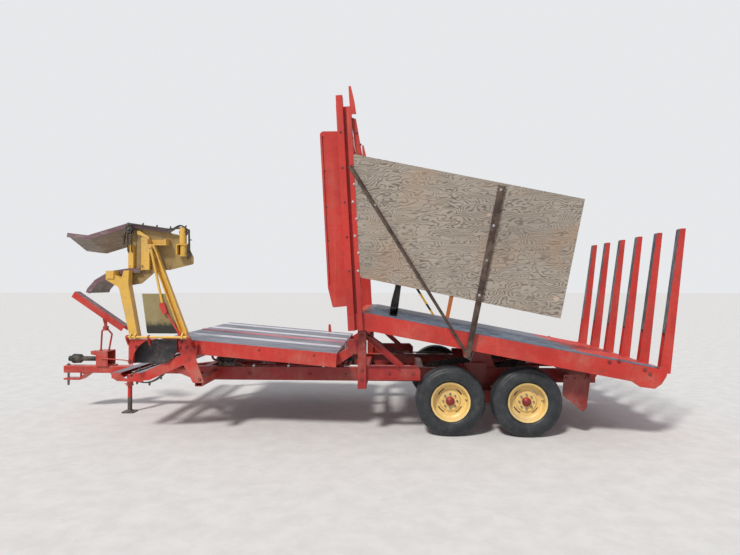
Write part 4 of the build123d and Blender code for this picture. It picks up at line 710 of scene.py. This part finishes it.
class HAYWAGON_OT_table_finishes(bpy.types.Operator):
    """Red frames, steel decks, slippery strips and the chain of the two tables"""

    bl_idname = "haywagon.table_finishes"
    bl_label = "Table finishes"

    def execute(self, context):
        paint = context.scene.hay_wagon_paint
        red = red_tones()
        strip_low, finger_low = 0.003, 0.012
        pink_y, pink_half = -0.053, 0.06
        trough_x, trough_z = -1.98, 0.645
        wear(paint_finish("red_table", red, grime=0.3), "second_table", "first_table")
        table_steel = steel_finish("table_steel", paint.table_steel, (0.34, 0.35, 0.41), rusty=0.35)
        wear(table_steel, "table_slats")
        # Painted highlight: the ribs' faces get pale white, and pink in the middle, for the light on their
        # edges.
        white_highlight = strip_finish("strip_highlight_white", paint.strip_highlight_white, (0.40, 0.39, 0.46))
        wear_where(white_highlight, lambda middle, normal: above_table(middle) > strip_low
                   and abs(middle.y - pink_y) > pink_half, "table_slats")
        pink_highlight = strip_finish("strip_highlight_pink", paint.strip_highlight_pink, (0.60, 0.45, 0.50))
        wear_where(pink_highlight, lambda middle, normal: above_table(middle) > strip_low
                   and abs(middle.y - pink_y) < pink_half, "table_slats")
        wear_where(made("red_frame"), lambda middle, normal: above_table(middle) > finger_low, "table_slats")
        wear_where(table_steel, lambda middle, normal: upward(middle, normal)
                   and middle.z > trough_z and middle.x < trough_x, "first_table")
        wear(steel_finish("chain_steel", (0.05, 0.045, 0.042), (0.26, 0.25, 0.24), rusty=0.6), "cross_chain")
        return {"FINISHED"}


class HAYWAGON_OT_rack_finishes(bpy.types.Operator):
    """Red rails and portal, steel deck, dark tine fronts, plywood and stays of the load rack"""

    bl_idname = "haywagon.rack_finishes"
    bl_label = "Rack finishes"

    def execute(self, context):
        paint = context.scene.hay_wagon_paint
        red = red_tones()
        wear(paint_finish("red_rail", red, grime=0.25, bare=0.02), "rack_frame")
        wear_where(made("rail_rubbed"), upward, "rack_frame")
        wear(rack_deck_finish("deck_steel"), "rack_deck")
        wear(paint_finish("red_portal", red, grime=0.2, bare=0.05, streak=(1, 1, 0.15)), "portal")
        wear(paint_finish("red_guide", red, grime=0.2, bare=0.1, streak=(1, 1, 0.15)),
             "side_guide_left", "side_guide_right")
        tines = paint_finish(
            "red_tines", red, grime=0.15, bare=0.08, streak=(1, 1, 0.12), worn_side=(-1, 0, 0.1)
        )
        wear(tines, "tines")
        tine_front = scuffed_finish(
            "tine_front", (0.075, 0.075, 0.09), (0.26, 0.26, 0.29), run=(1, 1, 0.08), amount=0.8
        )
        wear_where(tine_front, lambda middle, normal: normal.x < -0.8, "tines")
        wear(plywood_finish("plywood_grain"), "plywood_left", "plywood_right")
        wear(dull_finish("stay_steel", (0.055, 0.035, 0.030), (0.13, 0.085, 0.070), 0.6, 0.3, 0.3),
             "side_stays")
        orange_tones = ((0.62, 0.16, 0.03), (0.30, 0.09, 0.03), (0.70, 0.34, 0.16))
        orange = paint_finish("stay_orange", orange_tones, grime=0.3)
        wear_where(orange, lambda middle, normal: middle.y > 0, "side_stays")
        # Painted shadow: the far thin stay gets black bands across its yellow.
        shadow_bands = shadow_banded_finish("stay_shadow_banded", (0.80, 0.50, 0.05), paint.black)
        foot_x, foot_z = 1.40, 0.95
        head_x, head_z, lean = 0.18, 2.81, 0.68
        wear_where(shadow_bands, lambda middle, normal: middle.y > 0 and middle.x < foot_x and middle.z > foot_z
                   and middle.x < head_x + (head_z - middle.z) * lean, "side_stays")
        wear(dull_finish("black_paint", (0.012, 0.012, 0.014), (0.035, 0.035, 0.04), 0.45, dusty=0.45),
             "rolling_rack", "rack_lift_barrel", "table_lift_barrel")
        chrome = steel_finish(
            "rod_chrome", (0.45, 0.45, 0.46), (0.62, 0.62, 0.63), rusty=0.15, roughness=(0.12, 0.25),
            metallic=1.0,
        )
        wear(chrome, "rack_lift_rod", "table_lift_rod")
        return {"FINISHED"}


class HAYWAGON_OT_loader_finishes(bpy.types.Operator):
    """Yellow paint, apron in olive painted shade with a black foot, rubbed guides and two-coloured link of
    the loader
    """

    bl_idname = "haywagon.loader_finishes"
    bl_label = "Loader finishes"

    def execute(self, context):
        paint = context.scene.hay_wagon_paint
        guides = ("loader_guide_upper", "loader_guide_lower")
        yellow = (paint.yellow, paint.yellow_shade, (0.86, 0.56, 0.20))
        red = red_tones()
        link_change_z = 1.51
        lip_y, lip_end_x, floor_y = -1.12, -2.76, -1.115
        arms = paint_finish("loader_yellow", yellow, grime=0.5, streak=(1, 1, 0.2), low_dirt=False)
        wear(arms, "loader_frame", "loader_chute", "loader_drive")
        wear(apron_finish("apron_painted_shade"), "loader_apron")
        wear(paint_finish("loader_guides_yellow", yellow, grime=0.5, bare=0.25, low_dirt=False), *guides)
        link = paint_finish("loader_link_red", red, grime=0.4, bare=0.15, streak=(1, 1, 0.2), low_dirt=False)
        wear(link, "loader_link")
        wear_where(arms, lambda middle, normal: middle.z > link_change_z, "loader_link")
        lip = scuffed_finish("guide_lip", paint.purple, (0.34, 0.27, 0.27), run=(0.1, 1, 1), amount=0.7)
        wear_where(lip, lambda middle, normal: middle.y < lip_y and middle.x > lip_end_x, *guides)
        belly = scuffed_finish(
            "guide_belly", (0.20, 0.17, 0.14), (0.33, 0.31, 0.29), run=(0.1, 1, 1), amount=0.8
        )
        wear_where(belly, lambda middle, normal: normal.z < -0.3 and middle.y > lip_y, *guides)
        # Dirt and painted shade: the chute's recessed side panels get tan and brown.
        panel = scuffed_finish(
            "chute_panel_dirt_and_shade", (0.36, 0.25, 0.10), (0.20, 0.12, 0.07), run=(1, 1, 0.2), amount=0.7
        )
        wear_where(panel, lambda middle, normal: middle.y > floor_y and abs(normal.y) > 0.5, "loader_chute")
        return {"FINISHED"}


class HAYWAGON_OT_wheel_finishes(bpy.types.Operator):
    """Rubber tyres, cream rims with red caps and rusty nuts"""

    bl_idname = "haywagon.wheel_finishes"
    bl_label = "Wheel finishes"

    def execute(self, context):
        paint = context.scene.hay_wagon_paint
        cap_y, cap_radius = 0.943, 0.0475
        nuts_y, nuts_from, nuts_to = 0.9425, 0.055, 0.092
        rubber = rubber_finish("tyre_rubber")
        cream = paint_finish(
            "rim_cream", (paint.rim, (0.62, 0.42, 0.15), (0.84, 0.66, 0.33)), grime=0.55, bare=0.05
        )
        for number, axle in enumerate(AXLE_X):
            rims = [f"rim_{axle}_{side}" for side in SIDES]
            wear(rubber, *(f"tyre_{axle}_{side}" for side in SIDES))
            wear(cream, *rims)
            wear_where(made("red_painted_shade"), on_disc(axle, cap_y, 0, cap_radius), *rims)
            nuts = steel_finish(f"wheel_nuts_{number}", (0.16, 0.15, 0.14), (0.40, 0.38, 0.36), rusty=0.8)
            wear_where(nuts, on_disc(axle, nuts_y, nuts_from, nuts_to), *rims)
        return {"FINISHED"}


def bolt_finish():
    """Galvanised bolts: dark and bright zinc in rubbed clouds, with rust marks and dust."""
    return bpy.data.materials.get("bolt_zinc") or steel_finish(
        "bolt_zinc", (0.32, 0.32, 0.33), (0.62, 0.62, 0.62), run=(1, 1, 1), rusty=0.5, roughness=(0.3, 0.5)
    )


class HAYWAGON_OT_rack_bolts(bpy.types.Operator):
    """Bolt heads of the plywood, stays, portal, side guides and rack ends"""

    bl_idname = "haywagon.rack_bolts"
    bl_label = "Rack bolts"

    def execute(self, context):
        sizes = context.scene.hay_wagon_fittings
        stay = [(1.725, 2.541), (1.651, 2.18), (1.581, 1.829), (1.507, 1.481), (0.464, 2.397)]
        flange = [
            (0.246, 2.61), (0.231, 2.431), (0.269, 2.257), (0.254, 2.084), (0.291, 1.912), (0.284, 1.727)
        ]
        gusset = [(0.223, 3.3), (0.264, 3.156), (0.304, 3.033)]
        member = [(0.105, 3.148), (0.125, 2.784), (0.147, 2.431), (0.172, 2.074), (0.193, 1.727)]
        guide = [(-0.096, 3.13), (-0.075, 2.776), (-0.055, 2.4), (-0.035, 2.05)]
        rack_end = [(2.803, 0.815), (2.896, 0.821), (3.149, 0.738), (3.197, 0.698)]
        bright = [*side_seats("side_stays", stay), *side_seats("portal", flange)]
        bolts(sizes.small_bolt, bright, "sheet_bolts", "load_rack", bolt_finish())
        guides = side_seats(("side_guide_left", "side_guide_right"), guide)
        light = stamped(hex_bolt(sizes.small_bolt), [*side_seats("portal", [*gusset, *member]), *guides])
        heavy = stamped(hex_bolt(sizes.bolt), side_seats("rack_frame", rack_end))
        finished(joined([light, heavy]), "rack_bolts", "load_rack", made("red_painted_shade"))
        return {"FINISHED"}


class HAYWAGON_OT_chassis_bolts(bpy.types.Operator):
    """Bolt heads of the frame, posts, brackets and drawbar, of the second table and of the loader's chute"""

    bl_idname = "haywagon.chassis_bolts"
    bl_label = "Chassis bolts"

    def execute(self, context):
        sizes = context.scene.hay_wagon_fittings
        painted = made("red_painted_shade")
        table = side_seats("second_table", [(-0.764, 0.903), (-0.184, 0.854)])
        bolts(sizes.small_bolt, table, "table_bolts", "table_two", painted)
        left = (SIDES["left"],)
        above_drawbar = 0.86
        heavy = [
            *side_seats("table_brackets", [(-1.586, 0.93), (-1.521, 0.934), (-1.435, 0.931)]),
            *side_seats("table_brackets", [(-1.575, 0.99), (-1.38, 0.6)], left),
            *side_seats("main_frame", [(-1.55, 0.57), (-1.0, 0.57), (-0.3, 0.57), (0.1, 0.57), (2.8, 0.57)]),
            *side_seats(
                "table_posts", [(0.315, 1.05), (0.315, 0.60), (0.315, 0.70), (0.60, 0.66), (0.85, 0.66)]
            ),
            *side_seats("rear_plates", [(2.46, 0.6), (2.55, 0.6), (2.66, 0.6)]),
            *side_seats("loader_mount", [(-2.07, 0.80), (-2.0, 0.95)], left),
            *(seat("drawbar", (x, y, above_drawbar), (0, 0, -1))
              for x in (-2.9, -2.5, -1.9) for y in (-0.03, 0.03)),
        ]
        bolts(sizes.bolt, heavy, "chassis_bolts", "chassis", painted)
        panel = side_seats("loader_chute", [(-2.15, 1.7), (-1.75, 1.9), (-1.9, 1.7), (-2.0, 1.75)], left)
        bolts(sizes.small_bolt, panel, "loader_bolts", "loader", made("chute_panel_dirt_and_shade"))
        return {"FINISHED"}


class HAYWAGON_OT_lines(bpy.types.Operator):
    """Hydraulic valve block with its handles, and the pipes with their clamps"""

    bl_idname = "haywagon.lines"
    bl_label = "Hydraulic lines"

    def execute(self, context):
        sizes = context.scene.hay_wagon_fittings
        radius = sizes.pipe / 2
        black = dull_finish(
            "pipe_black", context.scene.hay_wagon_paint.black, (0.04, 0.038, 0.038), 0.4, 0.2, 0.35
        )
        top = FRAME_TOP
        spool_y, handle_y = -0.610, -0.563
        block = soft_block((-1.36, -0.598, top + 0.004), (-1.16, -0.528, top + 0.094), 0.006)
        cap = cylinder(16, 0.019, 0.05, (0, spool_y, top + 0.05), ACROSS)
        handle = bar(
            [(0, handle_y, top + 0.09), (0, handle_y, top + 0.13), (-0.02, -0.60, top + 0.17)], 0.005
        )
        spool = joined([raise_ends(cap, (0, 1, 0), 0.005, 0.004), handle])
        spools = repeated(spool, shifts(*((-1.325 + 0.062 * number, 0, 0) for number in range(3))))
        finished(joined([block, spools]), "valve_block", "chassis", black)
        pipes = []
        low = top + 0.014
        for number, y in enumerate((-0.542, -0.566, -0.588)):
            end = 0.14 - 0.06 * number
            run = [
                (-1.17, y, top + 0.05), (-1.11, y, top + 0.05), (-1.08, y, low), (-0.9, y, low),
                (-0.2, y, low), (end - 0.1, y, low), (end, y, low), (end, y + 0.05, low),
                (end, -0.30 + 0.04 * number, low),
            ]
            pipes.append(bar(run, radius))
        high = top + 0.06
        for y in (-0.555, -0.580):
            run = [
                (-1.35, y, high), (-1.42, y, high), (-1.45, y, high + 0.07),
                (-1.45, y + 0.1, high + 0.10), (-1.45, y + 0.25, high + 0.02),
                (-1.48, y + 0.36, high - 0.03), (-1.56, y + 0.42, high - 0.05),
            ]
            pipes.append(bar(run, radius))
        finished(joined(pipes), "frame_pipes", "chassis", made("red_painted_shade"))
        clamp = soft_block((-0.014, -0.600, top), (0.014, -0.530, top + 0.026), 0.004)
        clamp_seats = [(Vector((0, y, top + 0.025)), Vector((0, 0, 1))) for y in (-0.554, -0.577)]
        clamp = joined([clamp, stamped(hex_bolt(sizes.clamp_bolt), clamp_seats)])
        clamps = repeated(clamp, shifts((-0.95, 0, 0), (-0.55, 0, 0), (-0.15, 0, 0)))
        finished(clamps, "pipe_clamps", "chassis", bolt_finish())
        upper = bar([
            (0.372, -0.985, 1.055), (0.42, -0.98, 1.04), (0.50, -0.95, 0.975), (0.60, -0.90, 0.905),
            (0.73, -0.82, 0.858), (0.93, -0.72, 0.842), (1.12, -0.645, 0.845), (1.28, -0.60, 0.80),
            (1.36, -0.57, 0.72), (1.38, -0.56, 0.664),
        ], radius, 8)
        lower = bar([
            (0.372, -0.965, 1.025), (0.41, -0.955, 1.01), (0.49, -0.92, 0.94), (0.60, -0.86, 0.870),
            (0.74, -0.79, 0.828), (0.93, -0.70, 0.810), (1.12, -0.63, 0.812), (1.24, -0.59, 0.775),
            (1.31, -0.56, 0.70), (1.32, -0.55, 0.664),
        ], radius, 8)
        finished(joined([upper, lower]), "rack_pipes", "chassis", black)
        return {"FINISHED"}


def spaced(points, pitch):
    """Starts and directions of links of one pitch along a line of points (x, z)."""
    stations = []
    run, number = 0.0, 0
    points = [Vector((x, 0, z)) for x, z in points]
    while number < len(points) - 1:
        leg = points[number + 1] - points[number]
        if run > leg.length:
            run -= leg.length
            number += 1
            continue
        stations.append((points[number] + leg.normalized() * run, leg.normalized()))
        run += pitch
    return stations


def chain_link(lugged):
    """A chain link along X: two waisted side bars, its roller, and a lug on some."""
    side_bar = box_piece((0, 0, 0), (0.036, 0.003, 0.014))
    pick_faces(side_bar, lambda place, normal: abs(normal.x) > 0.9)
    bpy.ops.mesh.inset(thickness=0.001, depth=0.002, use_individual=True)
    bpy.ops.transform.resize(value=(1, 1, 0.6))
    close_edit()
    bars = repeated(side_bar, shifts((0, -0.008, 0), (0, 0.008, 0)))
    roller = raise_ends(cylinder(10, 0.006, 0.020, (0.015, 0, 0), ACROSS), (0, 1, 0), 0.0015, 0.001)
    if not lugged:
        return joined([bars, roller])
    lug = box_piece((0, 0, 0.012), (0.010, 0.020, 0.012))
    pick_faces(lug, lambda place, normal: normal.z > 0.9)
    bpy.ops.mesh.extrude_region_move(TRANSFORM_OT_translate={"value": (0.003, 0, 0.014)})
    bpy.ops.transform.resize(value=(0.5, 0.5, 1))
    close_edit()
    return joined([bars, roller, lug])


def link_place(middle, along, y):
    """The place of a link whose X runs along the chain and whose lug points away from the chute."""
    return Matrix((
        (along.x, 0, -along.z, middle.x),
        (0, 1, 0, y),
        (along.z, 0, along.x, middle.z),
        (0, 0, 0, 1),
    ))


def toothed_wheel(radius, width, teeth):
    """A wheel across the wagon: every second side of a disc is drawn out to a tooth, its hub panelled."""
    wheel = cylinder(2 * teeth, radius, width, (0, 0, 0), ACROSS)

    def on_tooth(place, normal):
        angle = math.atan2(place.z, place.x) / math.pi * teeth
        return abs(normal.y) < 0.5 and round(angle - 0.5) % 2 == 0

    pick_faces(wheel, on_tooth)
    bpy.ops.mesh.inset(thickness=radius * 0.06, depth=radius * 0.22, use_individual=True)
    close_edit()
    pick_faces(wheel, lambda place, normal: abs(normal.y) > 0.9)
    bpy.ops.mesh.inset(thickness=radius * 0.25, depth=0, use_individual=True)
    bpy.ops.mesh.inset(thickness=radius * 0.05, depth=-width * 0.2, use_individual=True)
    close_edit()
    hub = cylinder(16, radius * 0.35, width * 2.2, (0, 0, 0), ACROSS)
    return joined([wheel, raise_ends(hub, (0, 1, 0), radius * 0.05, radius * 0.03)])


class HAYWAGON_OT_drive_pipes(bpy.types.Operator):
    """Two black oil pipes from the loader's motor over the upper guide to the chute"""

    bl_idname = "haywagon.drive_pipes"
    bl_label = "Drive pipes"

    def execute(self, context):
        radius = context.scene.hay_wagon_fittings.drive_pipe / 2
        motor_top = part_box("loader_drive")[1][2]
        chute_z, outside_y = 1.93, -1.160
        pipes = []
        for y, guide_end, foot_x in ((-1.125, -2.06, -2.13), (-1.100, -2.00, -2.09)):
            run = [
                (-1.545, y - 0.03, motor_top - 0.004), (-1.545, y - 0.03, motor_top + 0.022),
                (-1.60, y - 0.01, motor_top + 0.030),
            ]
            for x in (-1.70, -1.76, -1.84, -1.92, guide_end):
                ridge, _ = seat("loader_guide_upper", (x, y, 3), (0, 0, -1))
                run.append((x, y, ridge.z + radius))
            foot, _ = seat("loader_chute", (foot_x, -3, chute_z), (0, 1, 0))
            run += [
                (foot_x, outside_y + 0.002, run[-1][2] - 0.01), (foot_x, outside_y, 2.06),
                (foot_x, outside_y, chute_z), tuple(foot),
            ]
            pipes.append(bar(run, radius, 8))
        finished(joined(pipes), "drive_pipes", "loader", made("pipe_black"))
        return {"FINISHED"}


class HAYWAGON_OT_lug_chain(bpy.types.Operator):
    """Lugged chain of the loader with its two chain wheels"""

    bl_idname = "haywagon.lug_chain"
    bl_label = "Lug chain"

    def execute(self, context):
        sizes = context.scene.hay_wagon_fittings
        low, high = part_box("loader_drive")
        steel = steel_finish(
            "lug_chain_steel", (0.030, 0.026, 0.024), (0.12, 0.11, 0.10), run=(1, 1, 1), rusty=0.6
        )
        front, rear = [
            (x, seat("loader_guide_upper", (x, -1.147, 3), (0, 0, -1))[0].z - 0.012) for x in (-2.09, -1.70)
        ]
        stations = spaced([
            (-2.165, front[1] - 0.20), (-2.145, front[1] - 0.03), front, rear, (-1.52, high[2]),
            (-1.475, high[2] - 0.03), (-1.470, low[2] + 0.06), (-1.486, low[2] - 0.02),
        ], sizes.chain_pitch)
        places = [link_place(middle, along, CHUTE_CHAIN_Y) for middle, along in stations]
        first_lug, lug_spacing = 2, 5
        lugged = places[first_lug::lug_spacing]
        plain = [place for number, place in enumerate(places) if number % lug_spacing != first_lug]
        links = joined([repeated(chain_link(False), plain), repeated(chain_link(True), lugged)])
        finished(links, "lug_chain", "loader", steel)
        ends = shifts((-1.530, CHUTE_CHAIN_Y, high[2] - 0.045), (-2.115, CHUTE_CHAIN_Y, front[1] - 0.055))
        wheels = repeated(toothed_wheel(sizes.chain_wheel, 0.010, 9), ends)
        finished(wheels, "chain_wheels", "loader", steel)
        return {"FINISHED"}


class HAYWAGON_OT_small_fittings(bpy.types.Operator):
    """Hairpins of the side stays and tyre valves"""

    bl_idname = "haywagon.small_fittings"
    bl_label = "Small fittings"

    def execute(self, context):
        stay_y = 1.222
        hairpin = bar([
            (1.362, 0, 0.888), (1.385, 0, 0.872), (1.405, 0, 0.856), (1.412, 0, 0.846), (1.406, 0, 0.838),
            (1.396, 0, 0.842), (1.382, 0, 0.856), (1.370, 0, 0.860), (1.356, 0, 0.870), (1.344, 0, 0.880),
        ], context.scene.hay_wagon_fittings.clip / 2)
        pins = repeated(hairpin, shifts((0, -stay_y, 0), (0, stay_y, 0)))
        finished(pins, "stay_hairpins", "load_rack", made("jack_steel"))
        stem = bar([(0, 0.004, 0), (0, -0.012, 0), (0.004, -0.026, 0.002), (0.008, -0.040, 0.004)], 0.004)
        cap = cylinder(12, 0.0055, 0.012, (0.008, -0.043, 0.004), ACROSS)
        valve = joined([stem, raise_ends(cap, (0, 1, 0), 0.0015, 0.001)])
        black = made("guard_plastic")
        valve_x, valve_z = 0.162, 0.010
        for axle, x in AXLE_X.items():
            for side, sign in SIDES.items():
                start, _ = seat(
                    f"rim_{axle}_{side}", (x + valve_x, sign * 3, AXLE_Z + valve_z), (0, -sign, 0)
                )
                facing = Matrix.Rotation(math.pi * (side == "right"), 4, "Z")
                copy = copy_of(valve, Matrix.Translation(start) @ facing)
                finished(copy, f"valve_{axle}_{side}", f"wheel_{axle}_{side}", black)
        bpy.data.objects.remove(valve)
        return {"FINISHED"}


class HAYWAGON_OT_stage(bpy.types.Operator):
    """Pale floor, soft light and the camera at the photograph's angle"""

    bl_idname = "haywagon.stage"
    bl_label = "Stage"

    def execute(self, context):
        scene = context.scene
        scene.view_settings.view_transform = "Standard"
        bpy.ops.mesh.primitive_plane_add(size=160)
        floor = context.object
        floor.name = "floor"
        f = Finish("floor_pale", specular=0.1)
        pale = f.mixed(
            f.band(f.noise(5, 6, roughness=0.7), 0.3, 0.7), (0.70, 0.69, 0.68), (0.78, 0.77, 0.76)
        )
        floor.data.materials.append(f.done(pale, 0.9, f.noise(60, 3), 0.1))
        world = bpy.data.worlds.new("sky")
        scene.world = world
        world.use_nodes = True
        sky = Tree(world.node_tree)
        rays = sky.add("LightPath").outputs
        shown = rays["Is Camera Ray"]
        for ray in ("Is Glossy Ray", "Is Transmission Ray"):
            shown = sky.worked("MAXIMUM", shown, rays[ray])
        tone = sky.mixed(shown, (0.43, 0.45, 0.48), (0.80, 0.81, 0.83))
        sky.put(sky.nodes["Background"].inputs["Color"], tone)
        bpy.ops.object.light_add(type="SUN", rotation=(math.radians(42), 0, math.radians(-28)))
        sun = context.object
        sun.name = "key_light"
        sun.data.energy = 2.5
        sun.data.angle = math.radians(9)
        sun.data.color = (1.0, 0.97, 0.92)
        bpy.ops.object.camera_add(
            location=(0.645, -6.365, 1.60), rotation=(math.radians(90.67), 0, math.radians(2.64))
        )
        camera = context.object
        camera.name = "camera"
        camera.data.sensor_width = 36
        camera.data.lens = 24.81
        camera.data.clip_end = 400
        scene.camera = camera
        return {"FINISHED"}


class HAYWAGON_PT_panel(bpy.types.Panel):
    """Lists the wagon's steps, sizes and colours"""

    bl_label = "Hay Wagon"
    bl_idname = "HAYWAGON_PT_panel"
    bl_space_type = "VIEW_3D"
    bl_region_type = "UI"
    bl_category = "Hay Wagon"

    def draw(self, context):
        for operator in STEPS:
            self.layout.operator(operator.bl_idname)
        for group in (context.scene.hay_wagon_fittings, context.scene.hay_wagon_paint):
            for name in group.__annotations__:
                self.layout.prop(group, name)


STEPS = (
    HAYWAGON_OT_chassis_finishes,
    HAYWAGON_OT_table_finishes,
    HAYWAGON_OT_rack_finishes,
    HAYWAGON_OT_loader_finishes,
    HAYWAGON_OT_wheel_finishes,
    HAYWAGON_OT_rack_bolts,
    HAYWAGON_OT_chassis_bolts,
    HAYWAGON_OT_lines,
    HAYWAGON_OT_drive_pipes,
    HAYWAGON_OT_lug_chain,
    HAYWAGON_OT_small_fittings,
    HAYWAGON_OT_stage,
)
CLASSES = (HayWagonPaint, HayWagonFittings, *STEPS, HAYWAGON_PT_panel)


def register():
    for cls in CLASSES:
        bpy.utils.register_class(cls)
    bpy.types.Scene.hay_wagon_paint = bpy.props.PointerProperty(type=HayWagonPaint)
    bpy.types.Scene.hay_wagon_fittings = bpy.props.PointerProperty(type=HayWagonFittings)


def unregister():
    del bpy.types.Scene.hay_wagon_fittings
    del bpy.types.Scene.hay_wagon_paint
    for cls in reversed(CLASSES):
        bpy.utils.unregister_class(cls)


def main():
    register()
    deselect()
    bpy.context.view_layer.update()
    bpy.ops.haywagon.chassis_finishes()
    bpy.ops.haywagon.table_finishes()
    bpy.ops.haywagon.rack_finishes()
    bpy.ops.haywagon.loader_finishes()
    bpy.ops.haywagon.wheel_finishes()
    bpy.ops.haywagon.rack_bolts()
    bpy.ops.haywagon.chassis_bolts()
    bpy.ops.haywagon.lines()
    bpy.ops.haywagon.drive_pipes()
    bpy.ops.haywagon.lug_chain()
    bpy.ops.haywagon.small_fittings()
    bpy.ops.haywagon.stage()


if __name__ == "__main__":
    main()
